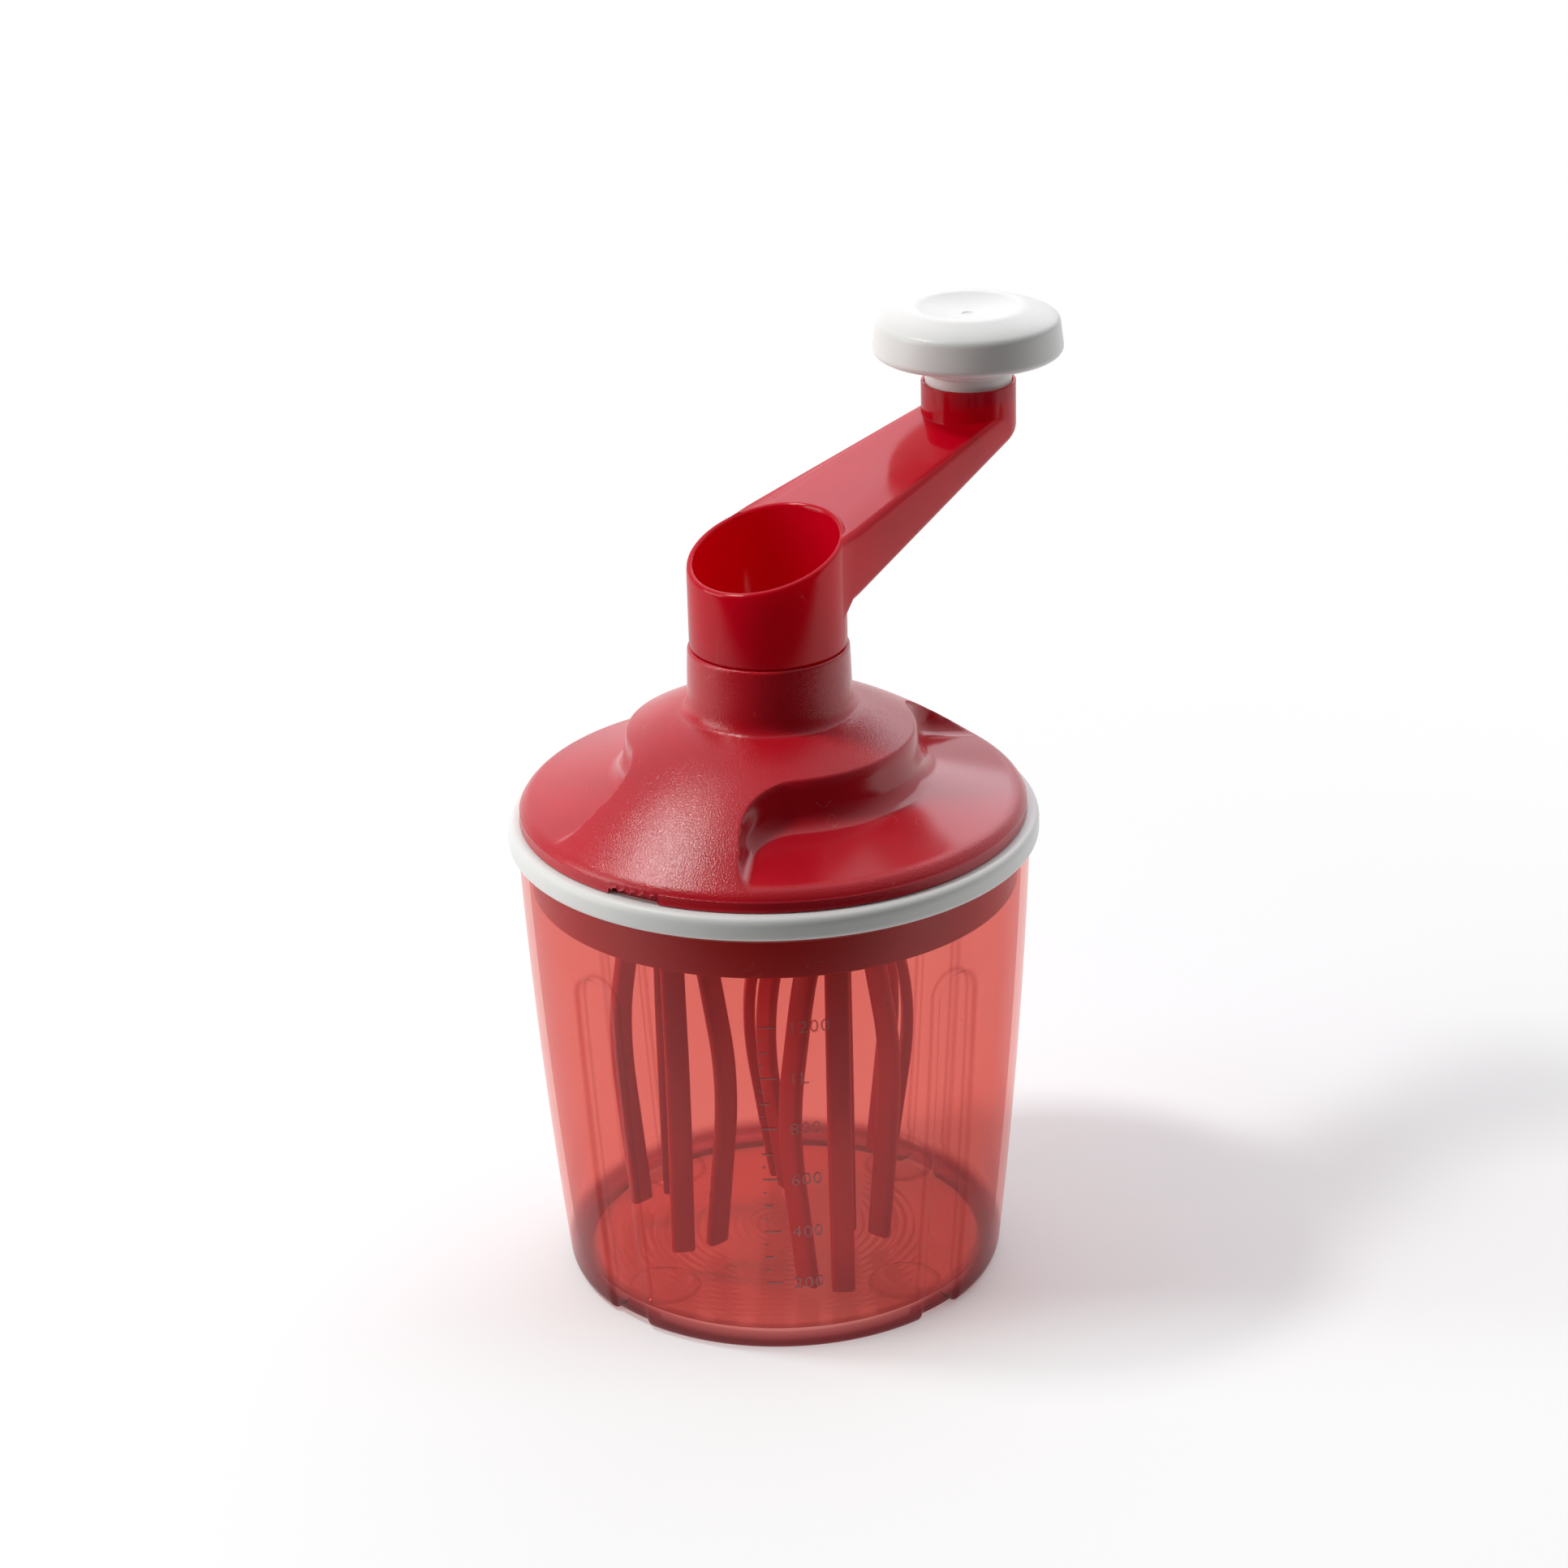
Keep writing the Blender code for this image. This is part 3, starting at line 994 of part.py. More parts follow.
def make_pinion(number, parts):
    towards_drive = whisk_angle(number) + math.pi
    outline = gear_outline(PINION_TEETH, towards_drive + math.pi / PINION_TEETH)
    bore = circle_loop(SPINDLE_HEX_RADIUS + SEAT_GAP, 6, towards_drive)
    pinion = outline_object("pinion_" + str(number + 1), [outline, bore], GEAR_FACE)
    pinion.location = polar(WHISK_REACH, whisk_angle(number), GEAR_BOTTOM + GEAR_FACE / 2)
    return place(pinion, parts, GEAR_WHITE)


def make_spindle(number, parts, cutters):
    """Turned spindle with a hexagon for the pinion and a hexagon tail for the whisk."""
    tag = str(number + 1)
    spot = polar(WHISK_REACH, whisk_angle(number))
    flange_top = GEAR_BOTTOM - SEAT_GAP
    hex_top = GEAR_TOP + SEAT_GAP
    tail_top = CASE_FLOOR_BOTTOM
    profile = [(0.0, PLATE_TOP), (SPINDLE_JOURNAL_RADIUS, PLATE_TOP),
               (SPINDLE_JOURNAL_RADIUS, flange_top), (SPINDLE_FLANGE_RADIUS, flange_top),
               (SPINDLE_FLANGE_RADIUS, SPINDLE_FLANGE_BOTTOM),
               (SPINDLE_RADIUS, SPINDLE_FLANGE_BOTTOM), (SPINDLE_RADIUS, tail_top),
               (0.0, tail_top)]
    spindle = turned("spindle_" + tag, profile, SMALL_TURN, spot, on_axis=True)
    place(spindle, parts, STEEL)
    upper = cylinder("spindle_hex_" + tag, SPINDLE_HEX_RADIUS, flange_top - SPINDLE_FLANGE / 2,
                     hex_top, spot, 6, whisk_angle(number))
    combine(spindle, upper, "UNION", cutters)
    lower = cylinder("spindle_tail_" + tag, SPINDLE_TAIL_RADIUS, SPINDLE_TAIL_BOTTOM,
                     tail_top + SPINDLE_FLANGE, spot, 6, math.radians(WHISK_TURNS[number]))
    combine(spindle, lower, "UNION", cutters)
    return spindle


def bend(before, corner, after):
    """Points of a smooth bend that takes a corner's place, over a share of both its legs."""
    start = corner.lerp(before, TINE_BEND)
    end = corner.lerp(after, TINE_BEND)
    points = []
    for step in range(TINE_BEND_STEPS + 1):
        share = step / TINE_BEND_STEPS
        points.append(start.lerp(corner, share).lerp(corner.lerp(end, share), share))
    return points


def tine_path():
    """Side view of a tine as (radius, height): out over a shoulder to the knee, then in."""
    root = Vector((TINE_ROOT_RADIUS, TINE_ROOT_HEIGHT))
    shoulder = Vector((TINE_SHOULDER_RADIUS, TINE_ROOT_HEIGHT - TINE_SHOULDER_DROP))
    knee = Vector((TINE_KNEE_RADIUS, TINE_KNEE_HEIGHT))
    tip = Vector((TINE_TIP_RADIUS, TINE_TIP_HEIGHT))
    return [root] + bend(root, shoulder, knee) + bend(shoulder, knee, tip) + [tip]


def make_tine(name, angle, spot):
    """Flat bar with chamfered corners swept along the tine's path."""
    half_width = TINE_WIDTH / 2
    half_thick = TINE_THICKNESS / 2
    cut = TINE_THICKNESS * 0.3
    section = bpy.data.curves.new(name + "_section", "CURVE")
    section.dimensions = "2D"
    corners = [(half_thick, half_width - cut), (0.0, half_width), (-half_thick, half_width - cut)]
    corners += [(-x, -y) for x, y in corners]
    spline = section.splines.new("POLY")
    spline.points.add(len(corners) - 1)
    for point, (x, y) in zip(spline.points, corners):
        point.co = (x, y, 0, 1)
    spline.use_cyclic_u = True
    bar = bpy.data.objects.new(name + "_bar", section)
    bpy.context.scene.collection.objects.link(bar)

    curve = bpy.data.curves.new(name, "CURVE")
    curve.dimensions = "3D"
    curve.bevel_mode = "OBJECT"
    curve.bevel_object = bar
    curve.use_fill_caps = True
    path = [(point.x, point.y, 1.0) for point in tine_path()]
    path.append((path[-1][0], path[-1][1] - TINE_THICKNESS * 0.25, 0.6))
    line = curve.splines.new("POLY")
    line.points.add(len(path) - 1)
    for point, (radius, height, size) in zip(line.points, path):
        point.co = (radius, 0, height, 1)
        point.radius = size
    source = bpy.data.objects.new(name, curve)
    source.location = spot
    source.rotation_euler = (0, 0, angle)
    tine = curve_to_mesh(source)
    bpy.data.objects.remove(bar)
    return tine


def make_whisk(number, parts, cutters):
    """Whisk hub with a hexagon socket and four tines in two opposite pairs."""
    tag = str(number + 1)
    spot = polar(WHISK_REACH, whisk_angle(number))
    facing = math.radians(WHISK_TURNS[number])
    profile = [(0.0, WHISK_HUB_TOP), (WHISK_HUB_RADIUS - WHISK_HUB_EDGE, WHISK_HUB_TOP),
               (WHISK_HUB_RADIUS, WHISK_HUB_TOP - WHISK_HUB_EDGE),
               (WHISK_HUB_RADIUS, WHISK_HUB_BOTTOM + 3 * WHISK_HUB_EDGE),
               (WHISK_HUB_RADIUS * 0.6, WHISK_HUB_BOTTOM), (0.0, WHISK_HUB_BOTTOM)]
    whisk = turned("whisk_" + tag, profile, 16, spot, on_axis=True)
    place(whisk, parts, DARK_RED)
    turns = (TINE_PAIR_HALF_ANGLE, -TINE_PAIR_HALF_ANGLE, math.pi + TINE_PAIR_HALF_ANGLE,
             math.pi - TINE_PAIR_HALF_ANGLE)
    for index, turn in enumerate(turns):
        tine = make_tine("tine_" + tag + "_" + str(index + 1), facing + turn, spot)
        combine(whisk, tine, "UNION", cutters)
    socket = cylinder("whisk_socket_" + tag, SPINDLE_TAIL_RADIUS + SEAT_GAP,
                      SPINDLE_TAIL_BOTTOM - SEAT_GAP, WHISK_HUB_TOP + OVERCUT, spot, 6, facing)
    combine(whisk, socket, "DIFFERENCE", cutters)
    return whisk


def shade_round(parts):
    for obj in parts.objects:
        obj.data.shade_smooth()
        obj.data.set_sharp_from_angle(angle=math.radians(35))


def main():
    clear_scene()
    parts = make_collection("hand_crank_mixer")
    cutters = make_collection("cutters")
    make_bowl(parts, cutters)
    make_seal_ring(parts)
    make_cover(parts, cutters)
    make_gear_case(parts, cutters)
    make_bearing_plate(parts, cutters)
    make_screws(parts)
    make_neck_bush(parts)
    make_retaining_ring(parts, cutters)
    make_drive_gear(parts, cutters)
    make_crank(parts, cutters)
    make_knob(parts)
    for number in range(WHISK_COUNT):
        make_spindle(number, parts, cutters)
        make_pinion(number, parts)
        make_whisk(number, parts, cutters)
    shade_round(parts)


main()
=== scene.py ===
import json
from math import asin, atan2, copysign, cos, hypot, pi, radians, sin, sqrt

import bmesh
import bpy
from mathutils import Matrix, Vector

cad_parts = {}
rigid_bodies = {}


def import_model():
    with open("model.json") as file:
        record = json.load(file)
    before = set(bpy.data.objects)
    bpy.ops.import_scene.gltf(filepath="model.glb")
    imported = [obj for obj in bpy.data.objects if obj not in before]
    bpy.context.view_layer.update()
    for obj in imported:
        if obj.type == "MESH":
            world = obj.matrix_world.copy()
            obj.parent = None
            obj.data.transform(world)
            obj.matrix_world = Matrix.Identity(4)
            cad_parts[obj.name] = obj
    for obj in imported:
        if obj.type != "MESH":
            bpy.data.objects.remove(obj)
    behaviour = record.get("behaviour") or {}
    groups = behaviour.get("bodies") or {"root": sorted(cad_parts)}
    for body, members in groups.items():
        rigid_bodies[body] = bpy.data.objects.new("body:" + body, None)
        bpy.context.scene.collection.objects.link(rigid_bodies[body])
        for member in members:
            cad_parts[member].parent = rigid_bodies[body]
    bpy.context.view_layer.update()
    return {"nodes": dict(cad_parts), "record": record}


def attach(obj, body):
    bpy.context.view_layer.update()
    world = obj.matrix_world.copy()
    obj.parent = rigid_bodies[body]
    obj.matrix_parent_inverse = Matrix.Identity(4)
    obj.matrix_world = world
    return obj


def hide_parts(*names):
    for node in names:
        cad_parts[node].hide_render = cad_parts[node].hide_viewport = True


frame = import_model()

SCENE = bpy.context.scene

# Sizes in metres
AXIS_X = -0.02185
BOWL_HEIGHT = 0.1310
BOWL_RIM_RADIUS = 0.0695
BOWL_BASE_RADIUS = 0.0603
BOWL_BULGE = 0.0012
BOWL_WALL = 0.0021
INSIDE_FLOOR = 0.0048
FOOT_RADIUS = 0.0578
FOOT_WIDTH = 0.0030
FOOT_HEIGHT = 0.0022
FOOT_CORNER = 0.0030
FLUTE_ANGLES = tuple(radians(-95.8 + 90.0 * number) for number in range(4))
FLUTE_WIDTH = 0.0135
FLUTE_TOP = 0.1060
FLUTE_DEPTH = 0.0010
FLUTE_EDGE = 0.0008
NOTCH_WIDTH = 0.0130
NOTCH_HEIGHT = 0.0020
FLOOR_DOME_REACH = 0.0468
FLOOR_DOME_RADIUS = 0.0095
FLOOR_DOME_HEIGHT = 0.0020
FLOOR_RADIUS = 0.0562
FLUTE_ROUND_TOP = 0.1085
FLUTE_ROUND_BOTTOM = 0.0960
FOOT_TINT_REACH = (0.0535, 0.0555)
FOOT_TINT_HEIGHT = (0.0016, 0.0080)

# Volume marks on the wall: (height, numeral) at every second hundred millilitres
MARKS = ((0.1012, "1200"), (0.0860, "1L"), (0.0708, "800"), (0.0551, "600"), (0.0387, "400"),
         (0.0223, "200"))
MARK_START = radians(-144.7)
MARK_LONG = radians(3.9)
MARK_SHORT = radians(2.2)
MARK_DOT = radians(0.7)
NUMERAL_START = radians(-138.2)
NUMERAL_HEIGHT = 0.0036
MARK_LINE = 0.0005
MARK_RISE = 0.00018

SEAL_RADIUS = 0.0718
SEAL_BOTTOM = 0.1272
SEAL_TOP = 0.1336
SEAL_WEB_BOTTOM = 0.1313
SEAL_LIP_BOTTOM = 0.1248
SEAL_GAP = 0.0003
PLUG_RADIUS = 0.0660

# Gear case, plugged into the seal ring under the cover
CASE_WALL = 0.0018
CASE_TOP = 0.1364
CASE_BOTTOM = 0.1140
CASE_FLOOR_BOTTOM = 0.1160
CASE_FLOOR_TOP = 0.1184
CASE_EDGE = 0.0006
DRIP_HOLE_RADIUS = 0.0071
DRIP_POCKET_RADIUS = 0.0093
DRIP_POCKET_FLOOR = 0.1172
DRIP_COLLAR_TOP = 0.1192
SEAL_SEAT_RADIUS = 0.0063
SEAL_SEAT_TOP = 0.1175
SEAL_BOSS_RADIUS = 0.0072
SEAL_BOSS_TOP = 0.1194
SPINDLE_BORE = 0.0039
PLATE_POST_RADIUS = 0.0035
PLATE_POST_TOP = 0.1312
PLATE_POST_REACH = 0.0451
PLATE_SCREW_RADIUS = 0.00155
PLATE_SCREW_BOTTOM = 0.1230
CASE_SCREW_ANGLES = tuple(radians(7.0 + 90.0 * number) for number in range(4))
CASE_SCREW_REACH = 0.0561
SCREW_HOLE_RADIUS = 0.0018

COVER_BOTTOM = 0.1339
COVER_RADIUS = 0.0686
COVER_WALL = 0.0022
DOME_START = 0.0225
DOME_END = 0.0659
DOME_TOP = 0.1635
DOME_RISE = 0.0243
DOME_POWER = 1.4
NECK_TOP = 0.1811
NECK_BORE = 0.0199
NECK_RADIUS = 0.0217
NECK_FILLET = 0.0018
SLEEVE_RADIUS = 0.0221
SLEEVE_BOTTOM = 0.1520
WELL_ANGLES = (radians(-83.0), radians(97.0))
WELL_SWEEP = radians(132.0)
WELL_INNER_RADIUS = 0.0400
WELL_RIM_RADIUS = 0.0652
WELL_FLOOR = 0.1454
WELL_FALL = 0.0060
WELL_CORNER = 0.0125
WELL_FILLET = 0.0046
WELL_STEEPNESS = 7.0
PRY_ANGLE = radians(-172.5)
PRY_WIDTH = 0.0155
PRY_HEIGHT = 0.0023
PRY_LEAN = 11.2
SKIRT_TOP = 0.1378
DOME_RIM_RADIUS = 0.0654
RIM_ROUND_BOTTOM = 0.1362
WELL_SIDE_START = 0.0362
WELL_SIDE_END = 0.0505
INSIDE_RIM_RADIUS = 0.0640

# Crank, whose hub is also the filling funnel and whose tube carries the gear
TUBE_RADIUS = 0.0170
TUBE_BORE = 0.0136
TUBE_BOTTOM = 0.1196
RING_GROOVE_RADIUS = 0.0159
RING_GROOVE_TOP = 0.1495
RING_GROOVE_BOTTOM = 0.1473
GEAR_SEAT_RADIUS = 0.0156
GEAR_SEAT_TOP = 0.1293
GEAR_SEAT_BOTTOM = 0.1207
GEAR_LIP_WIDTH = 0.0007
DRIP_PIPE_BOTTOM = 0.1080
HUB_RADIUS = 0.0211
HUB_WALL = 0.0018
HUB_BOTTOM = 0.1814
HUB_EDGE = 0.0005
FUNNEL_RADIUS = 0.0193
RIM_MIDDLE_HEIGHT = 0.2079
RIM_SLANT = 0.0065
FUNNEL_STRAIGHT_TOP = 0.1960
FUNNEL_CONE_TOP = 0.1840
FUNNEL_CONE_BOTTOM = 0.1680
DRIP_BORE = 0.0050
DRIP_WALL = 0.0015
ARM_REACH = 0.0890
ARM_ROOT_HALF_WIDTH = 0.0195
ARM_ROOT_TOP = 0.2120
ARM_TIP_TOP = 0.2240
ARM_ROOT_BOTTOM = 0.1936
ARM_TIP_BOTTOM = 0.2145
ARM_ROOT_REACH = 0.0150
GUSSET_REACH = 0.0105
GUSSET_DROP = 0.0045
ARM_EDGE = 0.0020
ARM_WALL = 0.0024
ARM_BOSS_RADIUS = 0.0132
ARM_BOSS_TOP = 0.2313
ARM_BOSS_BOTTOM = 0.2190
BOSS_FLOOR = 0.2270
PIN_SOCKET_BOTTOM = 0.2202

# Knob
KNOB_RADIUS = 0.0265
KNOB_BAND_TOP_RADIUS = 0.02566
KNOB_BROW_RADIUS = 0.0243
KNOB_SHOULDER_RADIUS = 0.0180
KNOB_DISH_EDGE = 0.0132
KNOB_UNDERSIDE_RADIUS = 0.0252
KNOB_BOTTOM = 0.2387
KNOB_BAND_BOTTOM = 0.2400
KNOB_TOP = 0.2528
KNOB_DISH_RADIUS = 0.0151
KNOB_DISH_DEPTH = 0.0026
KNOB_COLLAR_RADIUS = 0.0133
KNOB_COLLAR_BOTTOM = 0.2346
KNOB_NECK_RADIUS = 0.0121
KNOB_NECK_BOTTOM = 0.2283
PIN_BORE_TOP = 0.2455
PIN_RADIUS = 0.0035
PIN_CLEARANCE = 0.0003

# Whisks
WHISK_REACH = 0.0300
WHISK_ANGLES = tuple(radians(12.5 + 120.0 * number) for number in range(3))
WHISK_TURNS = (radians(-30.0), radians(63.0), radians(20.0))
WHISK_HUB_RADIUS = 0.0098
WHISK_HUB_TOP = 0.1150
WHISK_HUB_BOTTOM = 0.1055
WHISK_SOCKET_RADIUS = 0.0037
WHISK_SOCKET_TOP = 0.1082
TINE_HALF_ANGLE = radians(18.0)
TINE_WIDTH = 0.0066
TINE_THICKNESS = 0.0034
TINE_CORNERS = ((0.0075, 0.1100), (0.0146, 0.1010), (0.02398, 0.0600), (0.0165, 0.0080))
TINE_BEND = 0.35
TINE_TIP_ROUND = 0.0009
TINE_SIDES = 24

# Camera: its place round the bowl's axis, before the model's turn about that axis
MODEL_TURN = radians(-50.0)
CAMERA_PLACE = (0.0031, -0.9510, 0.5457)
CAMERA_TARGET = (0.0031, 0.0, 0.1402)
CAMERA_LENS = 88.0
CAMERA_ROLL = radians(-1.6)
CAMERA_SIDE = Matrix.Translation((AXIS_X, 0.0, 0.0)) @ Matrix.Rotation(MODEL_TURN, 4, "Z")
LIGHT_AIM_HEIGHT = 0.12


# Node helpers

WHITE = (1.0, 1.0, 1.0, 1.0)


def new_material(name):
    material = bpy.data.materials.new(name)
    material.use_nodes = True
    tree = material.node_tree
    tree.nodes.clear()
    return material, tree


def node(tree, kind, inputs=None, **settings):
    """New shader node, its sockets linked or set by name or number."""
    made = tree.nodes.new("ShaderNode" + kind)
    for key, value in settings.items():
        setattr(made, key, value)
    for key, value in (inputs or {}).items():
        if isinstance(value, bpy.types.NodeSocket):
            tree.links.new(value, made.inputs[key])
        else:
            made.inputs[key].default_value = value
    return made


def ramp(tree, factor, stops):
    made = node(tree, "ValToRGB", {"Fac": factor})
    elements = made.color_ramp.elements
    while len(elements) < len(stops):
        elements.new(0.5)
    for element, (position, colour) in zip(elements, stops):
        element.position = position
        if isinstance(colour, (int, float)):
            colour = (colour, colour, colour)
        element.color = (*colour, 1.0)
    return made.outputs["Color"]


def coords(tree):
    return node(tree, "TexCoord").outputs["Object"]


def noise(tree, scale, detail=3.0, roughness=0.55, distortion=0.0):
    return node(tree, "TexNoise", {"Vector": coords(tree), "Scale": scale, "Detail": detail,
                                   "Roughness": roughness,
                                   "Distortion": distortion}).outputs["Fac"]


def maths(tree, operation, first, second=0.0, clamp=False):
    return node(tree, "Math", {0: first, 1: second}, operation=operation,
                use_clamp=clamp).outputs[0]


def times(tree, first, second):
    return maths(tree, "MULTIPLY", first, second)


def vector_maths(tree, operation, first, second=(0.0, 0.0, 0.0), result="Vector"):
    return node(tree, "VectorMath", {0: first, 1: second},
                operation=operation).outputs[result]


def smooth_range(tree, value, low, high, start=0.0, end=1.0):
    """Value that eases from start to end while the given one goes from low to high."""
    return node(tree, "MapRange", {0: value, 1: low, 2: high, 3: start, 4: end},
                interpolation_type="SMOOTHSTEP").outputs[0]


def mix_shader(tree, share, first, second):
    return node(tree, "MixShader", {0: share, 1: first, 2: second}).outputs[0]


def glossy(tree, roughness, **inputs):
    return node(tree, "BsdfGlossy", {"Color": WHITE, "Roughness": roughness,
                                     **inputs}).outputs[0]


def coloured(tree, kind, colour):
    """Shader of a kind that takes a colour alone."""
    return node(tree, kind, {"Color": colour}).outputs[0]


def mix_colour(tree, factor, first, second):
    return node(tree, "Mix", {0: factor, 6: first, 7: second}, data_type="RGBA").outputs[2]


def hairlines(tree, scale, distortion, width, amount):
    """Sparse thin curved scratches: a narrow band of a warped noise, broken by a coarser one."""
    field = noise(tree, scale, 1.5, 0.5, distortion)
    band = ramp(tree, field, ((0.5 - width, 0.0), (0.5, 1.0), (0.5 + width, 0.0)))
    gate = ramp(tree, noise(tree, scale * 2.3, 2.0), ((1.0 - amount, 0.0), (1.02 - amount, 1.0)))
    return times(tree, band, gate)


def output(tree, shader):
    node(tree, "OutputMaterial", {"Surface": shader})


def moulded_plastic(name, colour, roughness, grain_scale, grain, scratch=0.0,
                    subsurface=0.0, mottle=0.10, soft_edge=0.0, specular=0.5, glow=0.0):
    """Opaque moulded plastic: mottled colour, a fine grain, worn edges and light scratches."""
    material, tree = new_material(name)
    dark = tuple(channel * (1.0 - mottle) for channel in colour) + (1.0,)
    light = tuple(min(1.0, channel * (1.0 + mottle)) for channel in colour) + (1.0,)
    cloud = ramp(tree, noise(tree, 35.0, 4.0), ((0.3, 0.0), (0.7, 1.0)))
    base = mix_colour(tree, cloud, dark, light)
    scratches = hairlines(tree, 42.0, 2.4, 0.0030, 0.38)
    pale = tuple(channel * 0.55 + 0.30 for channel in colour) + (1.0,)
    base = mix_colour(tree, times(tree, scratches, scratch), base, pale)
    edge = node(tree, "NewGeometry").outputs["Pointiness"]
    worn = ramp(tree, edge, ((0.54, 0.0), (0.62, 1.0)))
    base = mix_colour(tree, times(tree, worn, 0.12), base, pale)
    smear = ramp(tree, noise(tree, 18.0, 5.0, 0.6), ((0.25, roughness * 0.85),
                                                     (0.75, min(1.0, roughness * 1.18))))
    rough = maths(tree, "ADD", smear, times(tree, scratches, 0.25), True)
    polish = node(tree, "Attribute", attribute_name="polish").outputs["Fac"]
    rough = mix_colour(tree, polish, rough, (0.15, 0.15, 0.15, 1.0))
    grain_left = times(tree, maths(tree, "SUBTRACT", 1.0, polish), grain)
    fine = noise(tree, grain_scale, 2.0, 0.5)
    settings = {"Strength": grain_left, "Distance": 0.0002, "Height": fine}
    if soft_edge:
        settings["Normal"] = node(tree, "Bevel", {"Radius": soft_edge},
                                  samples=4).outputs["Normal"]
    bump = node(tree, "Bump", settings)
    shader = node(tree, "BsdfPrincipled",
                  {"Base Color": base, "Roughness": rough, "Normal": bump.outputs["Normal"],
                   "IOR": 1.5, "Specular IOR Level": specular, "Subsurface Weight": subsurface,
                   "Subsurface Radius": (0.004, 0.001, 0.001), "Subsurface Scale": 1.0})
    surface = shader.outputs["BSDF"]
    if glow:
        through = coloured(tree, "BsdfTranslucent", light)
        surface = mix_shader(tree, glow, surface, through)
    output(tree, surface)
    material.diffuse_color = (*colour, 1.0)
    return material


def clear_plastic(name):
    """Thin tinted clear plastic: light passes straight through, a little deeper at a slant."""
    material, tree = new_material(name)
    facing = node(tree, "LayerWeight", {"Blend": 0.5}).outputs["Facing"]
    tint = ramp(tree, facing, ((0.0, (0.935, 0.650, 0.615)), (0.6, (0.925, 0.600, 0.560)),
                               (0.9, (0.905, 0.53, 0.49)), (1.0, (0.88, 0.46, 0.42))))
    cloud = ramp(tree, noise(tree, 24.0, 5.0, 0.6), ((0.3, 0.0), (0.75, 1.0)))
    tint = mix_colour(tree, times(tree, cloud, 0.12), tint, (0.93, 0.53, 0.50, 1.0))
    # Painted shade: the tint turns darker along the flute edges and floor dome edges, standing for
    # the dark lines that refraction draws there.
    painted_fold_shade = node(tree, "Attribute", attribute_name="painted_fold_shade").outputs["Fac"]
    tint = mix_colour(tree, times(tree, painted_fold_shade, 0.60), tint, (0.62, 0.20, 0.20, 1.0))
    level = vector_maths(tree, "MULTIPLY", coords(tree), (1.0, 1.0, 0.0))
    from_axis = vector_maths(tree, "SUBTRACT", level, (AXIS_X, 0.0, 0.0))
    outer = smooth_range(tree, vector_maths(tree, "LENGTH", from_axis, result="Value"),
                         *FOOT_TINT_REACH)
    height = node(tree, "SeparateXYZ", {0: coords(tree)}).outputs["Z"]
    low = smooth_range(tree, height, *FOOT_TINT_HEIGHT, 1.0, 0.0)
    tint = mix_colour(tree, times(tree, low, outer), tint, (0.44, 0.07, 0.10, 1.0))
    through = coloured(tree, "BsdfTransparent", tint)
    haze = coloured(tree, "BsdfDiffuse", (0.80, 0.10, 0.09, 1.0))
    glow = coloured(tree, "BsdfTranslucent", (0.90, 0.12, 0.10, 1.0))
    milky = mix_shader(tree, 0.5, haze, glow)
    marks = times(tree, hairlines(tree, 30.0, 3.0, 0.0022, 0.34), 0.16)
    dust = ramp(tree, noise(tree, 1400.0, 1.0, 0.4), ((0.70, 0.0), (0.76, 1.0)))
    specks = times(tree, dust, 0.05)
    amount = maths(tree, "ADD", 0.045, maths(tree, "ADD", marks, specks))
    body = mix_shader(tree, amount, through, milky)
    bump = node(tree, "Bump", {"Strength": 0.05, "Distance": 0.0002,
                               "Height": noise(tree, 160.0, 2.0)})
    gloss = glossy(tree, 0.07, Normal=bump.outputs["Normal"])
    slant = maths(tree, "POWER", facing, 5.0)
    mirror = maths(tree, "ADD", 0.035, times(tree, slant, 0.55))
    backfacing = node(tree, "NewGeometry").outputs["Backfacing"]
    outside = maths(tree, "SUBTRACT", 1.0, backfacing)
    output(tree, mix_shader(tree, times(tree, mirror, outside), body, gloss))
    material.diffuse_color = (0.75, 0.12, 0.10, 0.5)
    return material


def raised_clear(name):
    """Raised clear figures: the bowl's own plastic with a thin pale layer over the whole figure,
    painted light that stands for the light their edges catch.
    """
    material, tree = new_material(name)
    through = coloured(tree, "BsdfTransparent", (0.74, 0.42, 0.42, 1.0))
    # Painted light: a pale tone, varying at random, spread over the whole figure for the light the
    # raised edges catch.
    painted_edge_light = mix_colour(tree, noise(tree, 700.0, 3.0), (0.92, 0.30, 0.28, 1.0),
                       (1.0, 0.62, 0.58, 1.0))
    painted_edge_light_layer = coloured(tree, "BsdfDiffuse", painted_edge_light)
    body = mix_shader(tree, 0.10, through, painted_edge_light_layer)
    output(tree, mix_shader(tree, 0.06, body, glossy(tree, 0.20)))
    material.diffuse_color = (0.80, 0.30, 0.28, 0.6)
    return material


def metal(name, colour, roughness):
    """Drawn steel with fine streaks and a faint stain."""
    material, tree = new_material(name)
    stain = mix_colour(tree, times(tree, noise(tree, 90.0, 5.0), 0.5), (*colour, 1.0),
                       (0.38, 0.36, 0.33, 1.0))
    streaks = noise(tree, 900.0, 2.0)
    rough = maths(tree, "ADD", roughness, times(tree, streaks, 0.2))
    shader = node(tree, "BsdfPrincipled", {"Base Color": stain, "Metallic": 1.0,
                                           "Roughness": rough})
    output(tree, shader.outputs["BSDF"])
    material.diffuse_color = (*colour, 1.0)
    return material


